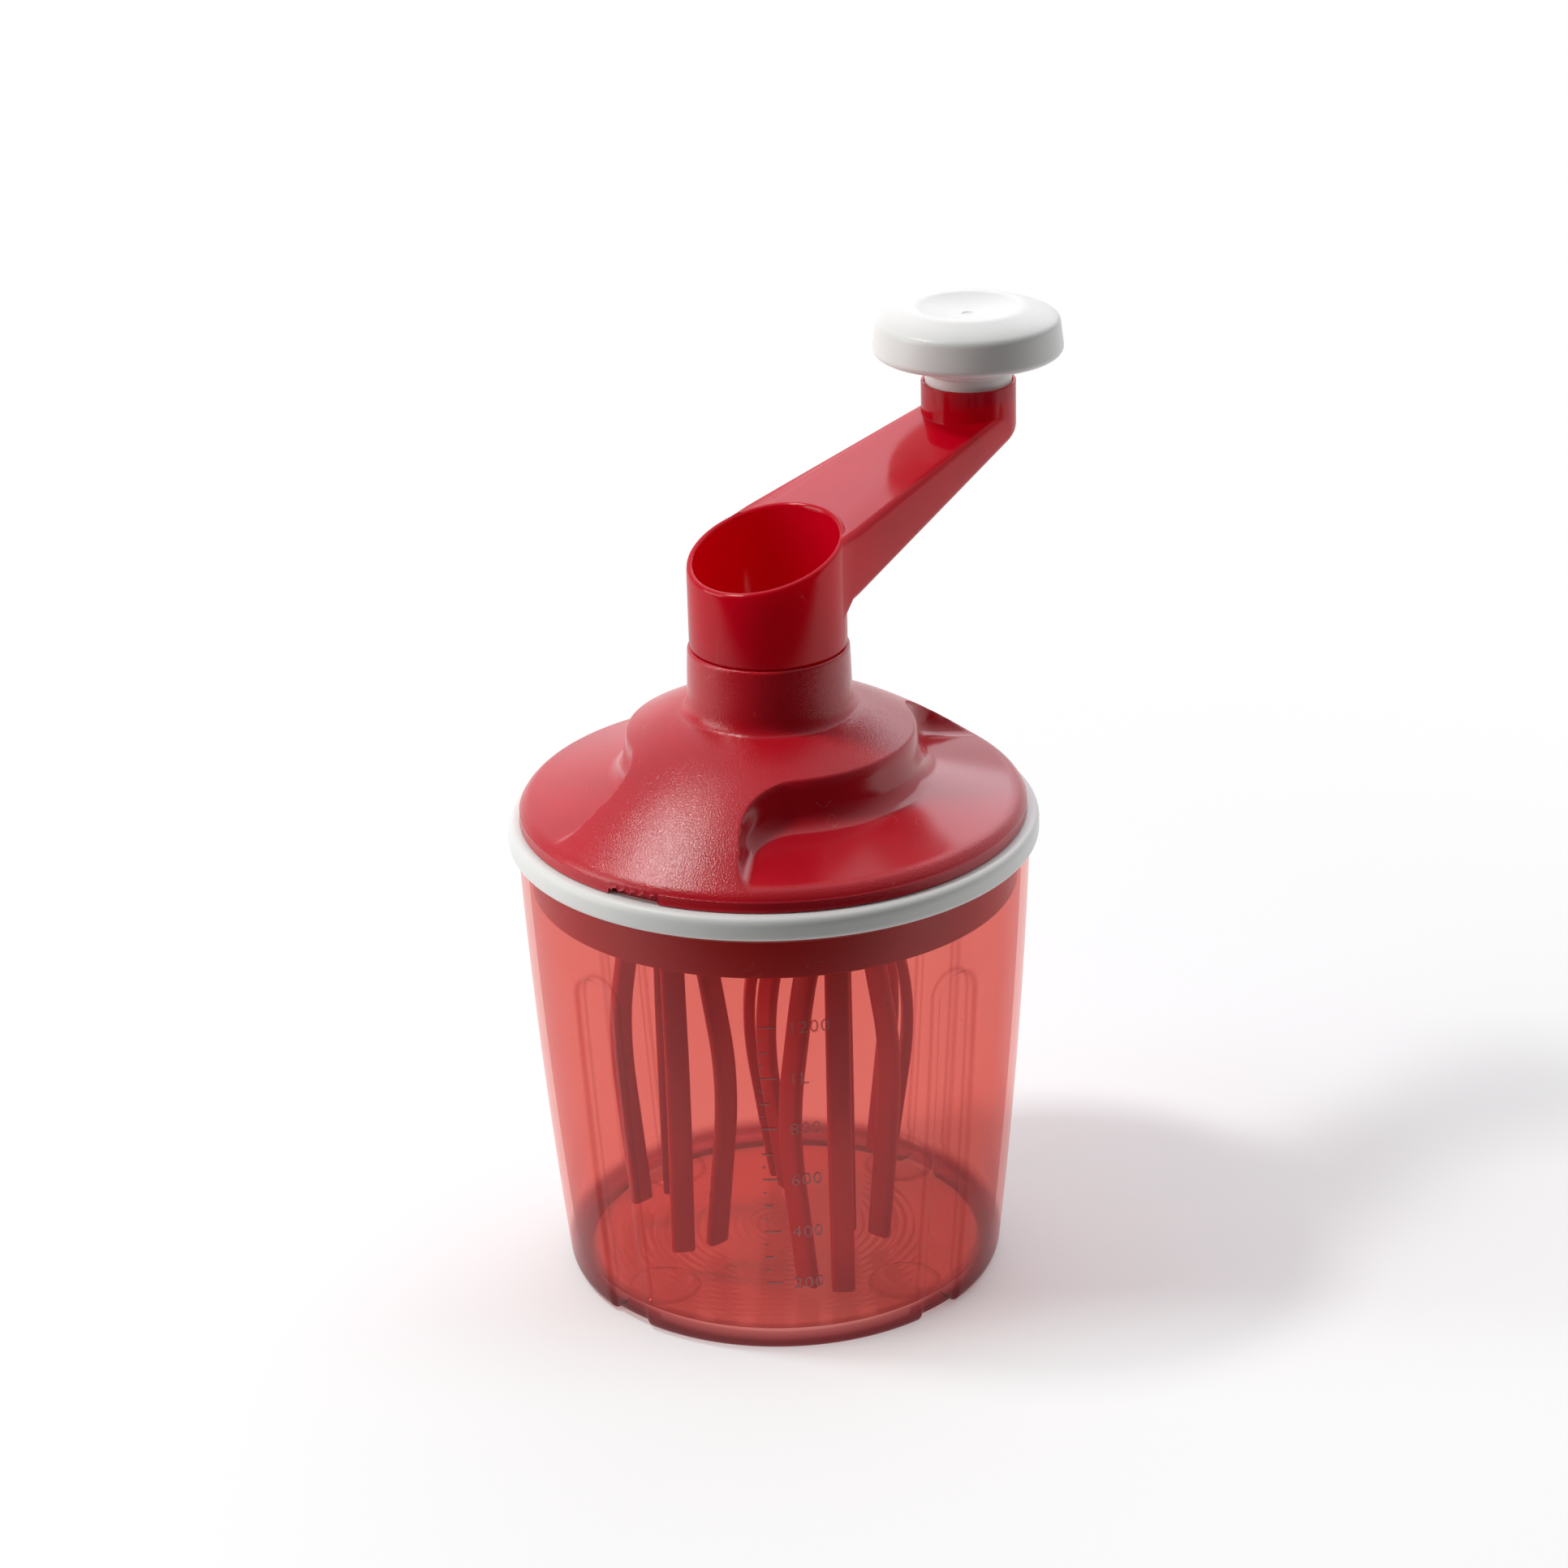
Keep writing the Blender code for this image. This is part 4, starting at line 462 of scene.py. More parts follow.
MATERIALS = {
    "clear_red": clear_plastic("clear_red_plastic"),
    "cover_red": moulded_plastic("satin_red_plastic", (0.52, 0.006, 0.017), 0.21, 2400.0, 0.50,
                                 scratch=0.35, subsurface=0.02, specular=0.48),
    "gloss_red": moulded_plastic("gloss_red_plastic", (0.74, 0.001, 0.024), 0.12, 300.0, 0.03,
                                 scratch=0.15, subsurface=0.02, soft_edge=0.0005, glow=0.45),
    "dark_red": moulded_plastic("whisk_red_plastic", (0.60, 0.010, 0.030), 0.30, 500.0, 0.08,
                                scratch=0.4, subsurface=0.03),
    "off_white": moulded_plastic("off_white_plastic", (0.79, 0.79, 0.775), 0.38, 3000.0, 0.30,
                                 scratch=0.12, mottle=0.025),
    "gear_white": moulded_plastic("gear_plastic", (0.70, 0.70, 0.64), 0.45, 900.0, 0.15,
                                  mottle=0.05),
    "rubber_grey": moulded_plastic("seal_rubber", (0.06, 0.06, 0.06), 0.7, 1500.0, 0.3),
    "steel": metal("drawn_steel", (0.62, 0.62, 0.64), 0.22),
}


# Camera

def place_camera():
    place = Vector(CAMERA_PLACE)
    forward = (Vector(CAMERA_TARGET) - place).normalized()
    right = forward.cross(Vector((0, 0, 1))).normalized()
    up = right.cross(forward)
    cos_roll, sin_roll = cos(CAMERA_ROLL), sin(CAMERA_ROLL)
    across = cos_roll * right + sin_roll * up
    upward = cos_roll * up - sin_roll * right
    pose = Matrix((across, upward, -forward)).transposed().to_4x4()
    pose.translation = place
    data = bpy.data.cameras.new("camera")
    data.lens = CAMERA_LENS
    data.sensor_width = 36.0
    data.clip_end = 20.0
    camera = bpy.data.objects.new("camera", data)
    camera.matrix_world = CAMERA_SIDE @ pose
    SCENE.collection.objects.link(camera)
    SCENE.camera = camera


# Mesh helpers

def spot_at(reach, azimuth):
    """Place on the table plane at a reach from the bowl's axis."""
    return (AXIS_X + reach * cos(azimuth), reach * sin(azimuth))


def finish_piece(obj, slot, body, *nodes):
    """Shade a piece, give it the finish of a slot, and let it stand for CAD nodes of a body."""
    obj.data.shade_smooth()
    obj.data.set_sharp_from_angle(angle=radians(38))
    obj.data.materials.clear()
    obj.data.materials.append(MATERIALS[slot])
    SCENE.collection.objects.link(obj)
    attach(obj, body)
    if nodes:
        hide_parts(*nodes)
    return obj


def mark_points(obj, name, share_at):
    """Store a share for every point of a piece, for its material to read."""
    layer = obj.data.attributes.new(name, "FLOAT", "POINT")
    for vert, mark in zip(obj.data.vertices, layer.data):
        mark.value = share_at(vert.co)


def solid_from(name, mesh, weld=0.0):
    """Object of a mesh, its near points welded and its faces turned outward."""
    work = bmesh.new()
    work.from_mesh(mesh)
    if weld:
        bmesh.ops.remove_doubles(work, verts=work.verts, dist=weld)
    bmesh.ops.recalc_face_normals(work, faces=work.faces)
    work.to_mesh(mesh)
    work.free()
    return bpy.data.objects.new(name, mesh)


def mesh_from(name, verts, faces):
    mesh = bpy.data.meshes.new(name)
    mesh.from_pydata(verts, [], faces)
    return solid_from(name, mesh)


def add_rows(verts, faces, rows, closed):
    """Add a surface through rows of points that go round; a row of one point is a pole."""
    numbers = []
    for row in rows:
        numbers.append(range(len(verts), len(verts) + len(row)))
        verts.extend(row)
    pairs = list(zip(numbers, numbers[1:]))
    if closed:
        pairs.append((numbers[-1], numbers[0]))
    for upper, lower in pairs:
        around = max(len(upper), len(lower))
        for index in range(around):
            after = (index + 1) % around
            if len(upper) == 1:
                faces.append((upper[0], lower[index], lower[after]))
            elif len(lower) == 1:
                faces.append((upper[after], upper[index], lower[0]))
            else:
                faces.append((upper[after], upper[index], lower[index], lower[after]))


def turned_rows(profile, azimuths, centre=(AXIS_X, 0.0), shape=None):
    """Rows of points of a turned profile, each (radius, height, tag) moved by a shape function."""
    rows = []
    for radius, height, tag in profile:
        if radius == 0.0:
            rows.append([(centre[0], centre[1], height)])
            continue
        row = []
        for azimuth in azimuths:
            out, up = shape(radius, height, tag, azimuth) if shape else (radius, height)
            row.append((centre[0] + out * cos(azimuth),
                        centre[1] + out * sin(azimuth), up))
        rows.append(row)
    return rows


def tagged(points, tag=""):
    """Profile points, each with a tag that tells a shape function how to move it."""
    return [(radius, height, tag) for radius, height in points]


def turned_piece(name, profile, azimuths, centre=(AXIS_X, 0.0), shape=None):
    verts, faces = [], []
    add_rows(verts, faces, turned_rows(profile, azimuths, centre, shape), profile[0][0] > 0.0)
    return mesh_from(name, verts, faces)


def even_turn(count):
    return [2 * pi * index / count for index in range(count)]


def wrapped(angle):
    return (angle + pi) % (2 * pi) - pi


def spread_turn(zones, coarse, fine):
    """Azimuths of a full turn, close together in zones of (middle, half width), all in radians."""
    azimuths = []
    azimuth = 0.0
    while azimuth < 2 * pi - fine / 2:
        azimuths.append(azimuth)
        near = any(abs(wrapped(azimuth - middle)) < half for middle, half in zones)
        azimuth += fine if near else coarse
    return azimuths


def ease(low, high, value):
    share = min(1.0, max(0.0, (value - low) / (high - low)))
    return share * share * (3 - 2 * share)


def steps_between(start, end, count):
    return [start + (end - start) * index / count for index in range(count + 1)]


def corner(before, point, after, count=5):
    """Points of a curve that rounds a corner, from the point before to the point after."""
    points = []
    for share in steps_between(0.0, 1.0, count):
        first = Vector(before).lerp(Vector(point), share)
        second = Vector(point).lerp(Vector(after), share)
        mixed = first.lerp(second, share)
        points.append((mixed.x, mixed.y))
    return points


def upper_corner(radius, height, size, count):
    """Rounded corner from a top outward and down a wall."""
    return corner((radius - size, height), (radius, height), (radius, height - size), count)


def lower_corner(radius, height, width, rise, count):
    """Rounded corner from a wall down and inward."""
    return corner((radius, height + rise), (radius, height), (radius - width, height), count)


# Cutting and joining, in a collection that is gone once the pieces are baked

WORKSHOP = bpy.data.collections.new("workshop")
SCENE.collection.children.link(WORKSHOP)


def baked_mesh(source):
    bpy.context.view_layer.update()
    graph = bpy.context.evaluated_depsgraph_get()
    return bpy.data.meshes.new_from_object(source.evaluated_get(graph))


def flat_mesh(name, curve):
    """Mesh of a filled curve or text."""
    source = bpy.data.objects.new(name, curve)
    WORKSHOP.objects.link(source)
    mesh = baked_mesh(source)
    bpy.data.objects.remove(source)
    return mesh


def outline_object(name, outline, depth):
    """Flat outline, filled and extruded to a depth along its own Z."""
    curve = bpy.data.curves.new(name, "CURVE")
    curve.dimensions = "2D"
    curve.fill_mode = "BOTH"
    curve.extrude = depth / 2
    spline = curve.splines.new("POLY")
    spline.points.add(len(outline) - 1)
    for point, (x, y) in zip(spline.points, outline):
        point.co = (x, y, 0, 1)
    spline.use_cyclic_u = True
    return solid_from(name, flat_mesh(name, curve), 0.00001)


def combine(target, tool, operation):
    """Add a Boolean of a tool, both kept in the workshop until the piece is baked."""
    for obj in (target, tool):
        if obj.name not in WORKSHOP.objects:
            WORKSHOP.objects.link(obj)
    boolean = target.modifiers.new(tool.name, "BOOLEAN")
    boolean.operation = operation
    boolean.solver = "EXACT"
    boolean.object = tool
    return target


def bake(name, source):
    """Finished mesh of a modified object; its tools leave the scene."""
    mesh = baked_mesh(source)
    mesh.transform(source.matrix_world)
    for old in list(WORKSHOP.objects):
        bpy.data.objects.remove(old, do_unlink=True)
    return bpy.data.objects.new(name, mesh)


def post(name, radius, bottom, top, reach, azimuth=0.0):
    """Upright round post at a reach from the bowl's axis, on the arm's line by default."""
    profile = tagged([(0.0, top), (radius, top), (radius, bottom), (0.0, bottom)])
    return turned_piece(name, profile, even_turn(96), spot_at(reach, azimuth))


# Bowl

def bowl_radius(height):
    share = height / BOWL_HEIGHT
    straight = BOWL_BASE_RADIUS + (BOWL_RIM_RADIUS - BOWL_BASE_RADIUS) * share
    return straight + BOWL_BULGE * 4 * share * (1 - share)


def flute_offset(azimuth):
    """Signed angle from the nearest flute's middle."""
    return min((wrapped(azimuth - middle) for middle in FLUTE_ANGLES), key=abs)


def flute_distance(radius, height, azimuth, widening):
    """Distance on the wall from a flute's round-topped edge, negative inside the flute."""
    half = FLUTE_WIDTH / 2 + widening
    sideways = abs(flute_offset(azimuth)) * radius
    top = FLUTE_TOP + widening - half
    return sideways - half if height < top else hypot(sideways, height - top) - half


def floor_dome_distance(radius, azimuth):
    """Distance on the floor from the middle of the nearest low dome."""
    offset = flute_offset(azimuth)
    return hypot(radius * cos(offset) - FLOOR_DOME_REACH, radius * sin(offset))


def flute_share(radius, height, azimuth, widening):
    """How far a wall point is pressed in: 1 in the flute's flat, 0 outside its edge."""
    return 1.0 - ease(-FLUTE_EDGE, FLUTE_EDGE, flute_distance(radius, height, azimuth, widening))


def painted_fold_shade_share(point):
    """How near a bowl point is to a flute's edge or a floor dome's edge, from 0 to 1: the share of
    painted shade that stands for the dark lines refraction draws along these edges.
    """
    radius = hypot(point.x - AXIS_X, point.y)
    azimuth = atan2(point.y, point.x - AXIS_X)
    inside = bowl_radius(point.z) - BOWL_WALL - FLUTE_DEPTH
    if radius > inside - 0.0004 and point.z > NOTCH_HEIGHT:
        distance = flute_distance(radius, point.z, azimuth, 0.0)
        return max(0.0, 1.0 - abs(distance) / (FLUTE_EDGE * 1.3))
    if radius < FLOOR_RADIUS and point.z > INSIDE_FLOOR - 0.0004:
        distance = floor_dome_distance(radius, azimuth) - FLOOR_DOME_RADIUS
        return max(0.0, 1.0 - abs(distance) / 0.0010)
    return 0.0


def bowl_shape(radius, height, tag, azimuth):
    if tag == "outer":
        return radius - FLUTE_DEPTH * flute_share(radius, height, azimuth, 0.0), height
    if tag == "inner":
        return radius - FLUTE_DEPTH * flute_share(radius, height, azimuth, BOWL_WALL * 0.6), height
    if tag == "foot":
        sideways = abs(flute_offset(azimuth)) * radius
        notch = 1.0 - ease(NOTCH_WIDTH / 2 - 0.0006, NOTCH_WIDTH / 2 + 0.0006, sideways)
        out = radius
        if radius > FOOT_RADIUS:
            out -= FLUTE_DEPTH * flute_share(radius, height, azimuth, 0.0)
        return out, height + max(0.0, NOTCH_HEIGHT - height) * notch
    if tag == "floor":
        dome = max(0.0, 1.0 - (floor_dome_distance(radius, azimuth) / FLOOR_DOME_RADIUS) ** 2)
        swirl = 0.00012 * sin(radius * 2400.0) * ease(0.0545, 0.0500, radius)
        return radius, height + FLOOR_DOME_HEIGHT * sqrt(dome) + swirl
    return radius, height


def make_bowl():
    azimuths = spread_turn([(angle, radians(12.5)) for angle in FLUTE_ANGLES],
                           radians(2.0), radians(0.45))
    low = FOOT_CORNER * 1.6
    heights = steps_between(BOWL_HEIGHT, FLUTE_ROUND_TOP, 6)[:-1]
    heights += steps_between(FLUTE_ROUND_TOP, FLUTE_ROUND_BOTTOM, 26)
    heights += steps_between(FLUTE_ROUND_BOTTOM, low, 34)[1:]
    profile = [(radius, INSIDE_FLOOR, "floor")
               for radius in [0.0] + steps_between(0.0006, FLOOR_RADIUS, 84)]
    inner_foot = bowl_radius(INSIDE_FLOOR) - BOWL_WALL
    profile += tagged(corner((FLOOR_RADIUS, INSIDE_FLOOR), (inner_foot, INSIDE_FLOOR),
                             (inner_foot + 0.0002, 0.0092), 8)[1:])
    profile += [(bowl_radius(height) - BOWL_WALL, height, "inner") for height in heights[::-1]
                if height > 0.0100]
    profile += [(bowl_radius(height), height, "outer") for height in heights]
    inner = FOOT_RADIUS - FOOT_WIDTH
    foot = corner((bowl_radius(low), low), (bowl_radius(0.0) + 0.0002, 0.0), (FOOT_RADIUS, 0.0),
                  8)[1:]
    profile += tagged(foot + [(inner + 0.0004, 0.0), (inner, 0.0004)], "foot")
    profile += tagged([(radius, FOOT_HEIGHT)
                       for radius in (inner - 0.0003, 0.050, 0.040, 0.025, 0.010, 0.0)])
    bowl = turned_piece("clear_bowl", profile, azimuths, shape=bowl_shape)
    # Store the share of painted shade along the flute and floor dome edges, for the material to
    # read.
    mark_points(bowl, "painted_fold_shade", painted_fold_shade_share)
    return finish_piece(bowl, "clear_red", "bowl", "bowl")


def wall_block(verts, faces, start, end, low, high):
    """Raised bar on the bowl's wall between two azimuths and two heights."""
    rows = []
    for azimuth in steps_between(start, end, max(1, round(abs(end - start) / 0.015))):
        row = []
        for height, rise in ((low, -0.0001), (low, MARK_RISE), (high, MARK_RISE), (high, -0.0001)):
            out = bowl_radius(height) + rise
            row.append((AXIS_X + out * cos(azimuth), out * sin(azimuth), height))
        rows.append(row)
    base = len(verts)
    add_rows(verts, faces, rows, False)
    faces.append((base, base + 1, base + 2, base + 3))
    faces.append(tuple(len(verts) - 1 - index for index in range(4)))


def numeral(text, height):
    """Raised figures bent round the wall, from the text's own flat outline."""
    letters = bpy.data.curves.new("numeral", "FONT")
    letters.body = text
    letters.size = NUMERAL_HEIGHT * 1.42
    letters.space_character = 1.12
    letters.extrude = (MARK_RISE + 0.0001) / 2
    letters.resolution_u = 4
    work = bmesh.new()
    work.from_mesh(flat_mesh("numeral", letters))
    bmesh.ops.remove_doubles(work, verts=work.verts, dist=0.000001)
    points = []
    for vert in work.verts:
        up = height + vert.co.y - NUMERAL_HEIGHT / 2
        out = bowl_radius(up) + (MARK_RISE if vert.co.z > 0 else -0.0001)
        azimuth = NUMERAL_START + vert.co.x / bowl_radius(height)
        points.append((AXIS_X + out * cos(azimuth), out * sin(azimuth), up))
    work.verts.index_update()
    faces = [tuple(vert.index for vert in face.verts) for face in work.faces]
    work.free()
    return points, faces


def make_marks():
    verts, faces = [], []
    bars = [(height, MARK_LONG) for height, text in MARKS]
    for (height, text), (below, text_below) in zip(MARKS, MARKS[1:]):
        bars += [(height + (below - height) * share, length)
                 for share, length in ((0.25, MARK_DOT), (0.5, MARK_SHORT), (0.75, MARK_DOT))]
    for height, length in bars:
        wall_block(verts, faces, MARK_START, MARK_START + length,
                   height - MARK_LINE / 2, height + MARK_LINE / 2)
    for height, text in MARKS:
        points, polygons = numeral(text, height)
        base = len(verts)
        verts.extend(points)
        faces.extend(tuple(base + number for number in face) for face in polygons)
    marks = finish_piece(mesh_from("scale_marks", verts, faces), "clear_red", "bowl")
    marks.data.materials[0] = raised_clear("raised_clear_plastic")


# Seal ring and cover

def make_seal_ring():
    inner = PLUG_RADIUS + SEAL_GAP
    rim_in = BOWL_RIM_RADIUS - BOWL_WALL - SEAL_GAP
    rim_out = BOWL_RIM_RADIUS + SEAL_GAP
    ledge = COVER_RADIUS + 0.0002
    points = [(inner, SEAL_TOP), (ledge, SEAL_TOP)]
    points += corner((ledge + 0.0006, SEAL_TOP), (SEAL_RADIUS - 0.0001, SEAL_TOP - 0.0001),
                     (SEAL_RADIUS, SEAL_TOP - 0.0026), 8)
    points += [(SEAL_RADIUS, (SEAL_TOP + SEAL_BOTTOM) / 2)]
    points += lower_corner(SEAL_RADIUS, SEAL_BOTTOM, 0.0009, 0.0014, 6)
    points += [(rim_out, SEAL_BOTTOM), (rim_out, SEAL_WEB_BOTTOM), (rim_in, SEAL_WEB_BOTTOM),
               (rim_in, SEAL_LIP_BOTTOM), (inner, SEAL_LIP_BOTTOM)]
    ring = turned_piece("seal_band", tagged(points), even_turn(200))
    return finish_piece(ring, "off_white", "lid", "seal_ring")


def smooth_min(first, second, reach):
    overlap = max(reach - abs(first - second), 0.0) / reach
    return min(first, second) - overlap * overlap * reach / 4


def dome_height(radius):
    share = max(0.0, (radius - DOME_START) / (DOME_END - DOME_START))
    return DOME_TOP - DOME_RISE * share ** DOME_POWER


def well_inset(radius, azimuth):
    """Distance inward from the side of the nearest grip well, negative outside it."""
    inset = -1.0
    for middle in WELL_ANGLES:
        across = (WELL_SWEEP / 2 - abs(wrapped(azimuth - middle))) * radius
        along = radius - WELL_INNER_RADIUS
        if across < WELL_CORNER and along < WELL_CORNER:
            distance = WELL_CORNER - hypot(WELL_CORNER - along, WELL_CORNER - across)
        else:
            distance = min(along, across)
        inset = max(inset, distance)
    return inset


def well_rise(inset):
    """Height of a grip well's side over its floor: a hollow fillet, then a steep drafted wall."""
    if inset >= WELL_FILLET:
        return 0.0
    turn = WELL_STEEPNESS / hypot(1.0, WELL_STEEPNESS)
    steepest = WELL_FILLET * (1.0 - turn)
    if inset > steepest:
        return WELL_FILLET - sqrt(WELL_FILLET ** 2 - (WELL_FILLET - inset) ** 2)
    rise = WELL_FILLET - sqrt(WELL_FILLET ** 2 - (WELL_FILLET - steepest) ** 2)
    return rise + WELL_STEEPNESS * (steepest - inset)


def cover_height(radius, azimuth, wall=0.0):
    """Height of the cover's outer face, or of its inner face for a wall thickness."""
    share = (radius - WELL_INNER_RADIUS) / (WELL_RIM_RADIUS - WELL_INNER_RADIUS)
    floor = WELL_FLOOR - WELL_FALL * share
    well = floor + well_rise(well_inset(radius, azimuth) + wall) - wall
    edge = 0.0004 + 0.0011 * min(1.0, max(0.0, (WELL_RIM_RADIUS - radius) / 0.009))
    return smooth_min(dome_height(radius) - wall * 1.15, well, edge)


def pry_height(azimuth):
    """Ragged top of the pry notch over the skirt's lower edge."""
    sideways = wrapped(azimuth - PRY_ANGLE) * COVER_RADIUS
    open_share = 1.0 - ease(PRY_WIDTH / 2 - 0.0005, PRY_WIDTH / 2, abs(sideways))
    ragged = 0.0004 * sin(sideways * 2100.0) + 0.00025 * sin(sideways * 5300.0 + 1.0)
    leaning = PRY_HEIGHT * (0.72 + PRY_LEAN * (sideways + PRY_WIDTH / 2))
    return open_share * (leaning + ragged)


def cover_shape(radius, height, tag, azimuth):
    if tag == "dome":
        return radius, cover_height(radius, azimuth) + height
    if tag == "inside":
        return radius, cover_height(radius, azimuth, COVER_WALL)
    if tag == "skirt":
        share = (height - COVER_BOTTOM) / (SKIRT_TOP - COVER_BOTTOM)
        low = COVER_BOTTOM + max(0.0, pry_height(azimuth))
        return radius, low + (SKIRT_TOP - low) * share
    return radius, height


def polish_share(point):
    """How far a cover point lies down in a grip well, where the finish is polished."""
    radius = hypot(point.x - AXIS_X, point.y)
    if WELL_INNER_RADIUS - 0.004 < radius < WELL_RIM_RADIUS + 0.001:
        return ease(0.0003, 0.0012, dome_height(radius) - point.z)
    return 0.0


def make_cover():
    sides = [middle + sign * WELL_SWEEP / 2 for middle in WELL_ANGLES for sign in (-1, 1)]
    zones = [(side, radians(12.0)) for side in sides] + [(PRY_ANGLE, radians(7.5))]
    azimuths = spread_turn(zones, radians(1.8), radians(0.36))
    neck_bottom = DOME_TOP + 2.2 * NECK_FILLET
    points = [(NECK_BORE, NECK_TOP - 0.0004), (NECK_BORE + 0.0003, NECK_TOP)]
    points += upper_corner(NECK_RADIUS, NECK_TOP, 0.0010, 5)
    points += [(NECK_RADIUS + 0.0002, NECK_TOP - 0.0060)]
    join = DOME_START + 0.0022
    points += corner((NECK_RADIUS + 0.0004, neck_bottom), (NECK_RADIUS + 0.0006, dome_height(join)),
                     (join, dome_height(join)), 8)[:-1]
    profile = tagged(points)
    radii = steps_between(join, WELL_SIDE_START, 12)
    radii += steps_between(WELL_SIDE_START, WELL_SIDE_END, 36)[1:]
    radii += steps_between(WELL_SIDE_END, DOME_RIM_RADIUS, 18)[1:]
    profile += [(radius, 0.0, "dome") for radius in radii]
    rim = cover_height(DOME_RIM_RADIUS, PRY_ANGLE)
    profile += tagged(corner((DOME_RIM_RADIUS, rim), (COVER_RADIUS - 0.0004, rim - 0.0018),
                             (COVER_RADIUS - 0.0002, RIM_ROUND_BOTTOM), 7)[1:-1])
    skirt = [(COVER_RADIUS - 0.0002, SKIRT_TOP - 0.0012), (COVER_RADIUS - 0.0002, 0.1350),
             (COVER_RADIUS, COVER_BOTTOM), (COVER_RADIUS - COVER_WALL, COVER_BOTTOM),
             (COVER_RADIUS - COVER_WALL, SKIRT_TOP - 0.0012)]
    profile += tagged(skirt, "skirt")
    outward, inward = WELL_SIDE_END + 0.0005, WELL_SIDE_START - 0.0017
    inside = steps_between(INSIDE_RIM_RADIUS, outward, 5) + steps_between(outward, inward, 18)[1:]
    inside += steps_between(inward, SLEEVE_RADIUS, 4)[1:]
    profile += [(radius, 0.0, "inside") for radius in inside]
    profile += tagged([(SLEEVE_RADIUS, SLEEVE_BOTTOM), (NECK_BORE, SLEEVE_BOTTOM)])
    cover = turned_piece("domed_cover", profile, azimuths, shape=cover_shape)
    mark_points(cover, "polish", polish_share)
    return finish_piece(cover, "cover_red", "lid", "cover")


# Gear case

def make_case():
    """Gear case with its drip collar, seal seats, plate posts and screw holes."""
    inner = PLUG_RADIUS - CASE_WALL
    collar = DRIP_POCKET_RADIUS + CASE_WALL
    points = [(inner, CASE_TOP), (PLUG_RADIUS, CASE_TOP)]
    points += lower_corner(PLUG_RADIUS, CASE_BOTTOM, CASE_EDGE, CASE_EDGE, 5)
    points += [(inner, CASE_BOTTOM), (inner, CASE_FLOOR_BOTTOM),
               (DRIP_HOLE_RADIUS, CASE_FLOOR_BOTTOM), (DRIP_HOLE_RADIUS, DRIP_POCKET_FLOOR),
               (DRIP_POCKET_RADIUS, DRIP_POCKET_FLOOR), (DRIP_POCKET_RADIUS, DRIP_COLLAR_TOP),
               (collar, DRIP_COLLAR_TOP), (collar, CASE_FLOOR_TOP), (inner, CASE_FLOOR_TOP)]
    case = turned_piece("case_body", tagged(points), even_turn(180))
    middle = (CASE_FLOOR_BOTTOM + CASE_FLOOR_TOP) / 2
    below = CASE_FLOOR_BOTTOM - CASE_WALL
    above = SEAL_BOSS_TOP + CASE_WALL
    bore = tagged([(0.0, above), (SPINDLE_BORE, above), (SPINDLE_BORE, SEAL_SEAT_TOP),
                   (SEAL_SEAT_RADIUS, SEAL_SEAT_TOP), (SEAL_SEAT_RADIUS, below), (0.0, below)])
    for number, azimuth in enumerate(WHISK_ANGLES):
        tag = str(number + 1)
        combine(case, post("case_boss_" + tag, SEAL_BOSS_RADIUS, middle, SEAL_BOSS_TOP,
                           WHISK_REACH, azimuth), "UNION")
        combine(case, turned_piece("case_bore_" + tag, bore, even_turn(96),
                                   spot_at(WHISK_REACH, azimuth)), "DIFFERENCE")
        between = azimuth + pi / 3
        combine(case, post("case_post_" + tag, PLATE_POST_RADIUS, middle, PLATE_POST_TOP,
                           PLATE_POST_REACH, between), "UNION")
        combine(case, post("case_pilot_" + tag, PLATE_SCREW_RADIUS, PLATE_SCREW_BOTTOM,
                           PLATE_POST_TOP + CASE_WALL, PLATE_POST_REACH, between), "DIFFERENCE")
    for number, azimuth in enumerate(CASE_SCREW_ANGLES):
        combine(case, post("case_hole_" + str(number + 1), SCREW_HOLE_RADIUS, below,
                           CASE_FLOOR_TOP + CASE_WALL, CASE_SCREW_REACH, azimuth), "DIFFERENCE")
    return finish_piece(bake("case_moulding", case), "cover_red", "lid", "gear_case")


# Crank

def arm_share(reach):
    return (reach - ARM_ROOT_REACH) / (ARM_REACH - ARM_ROOT_REACH)


def arm_line(root_height, tip_height, reach):
    """Height on a straight line along the arm, from its root reach to the boss."""
    return root_height + (tip_height - root_height) * arm_share(reach)


def arm_top(reach):
    return arm_line(ARM_ROOT_TOP, ARM_TIP_TOP, reach)


def arm_bottom(reach):
    return arm_line(ARM_ROOT_BOTTOM, ARM_TIP_BOTTOM, reach)


def arm_half_width(reach):
    return ARM_ROOT_HALF_WIDTH + (ARM_BOSS_RADIUS - ARM_ROOT_HALF_WIDTH) * arm_share(reach)


def arm_channel():
    """Tapered block that hollows the arm from below between hub and boss."""
    work = bmesh.new()
    bmesh.ops.create_cube(work, size=2.0)
    for vert in work.verts:
        reach = ARM_REACH - ARM_BOSS_RADIUS if vert.co.x > 0 else HUB_RADIUS + ARM_WALL
        height = ARM_ROOT_BOTTOM - 0.012
        if vert.co.z > 0:
            height = arm_top(reach) - ARM_WALL
        vert.co = (reach, vert.co.y * (arm_half_width(reach) - ARM_WALL), height)
    mesh = bpy.data.meshes.new("arm_channel")
    work.to_mesh(mesh)
    work.free()
    channel = bpy.data.objects.new("arm_channel", mesh)
    channel.location = (AXIS_X, 0, 0)
    return channel


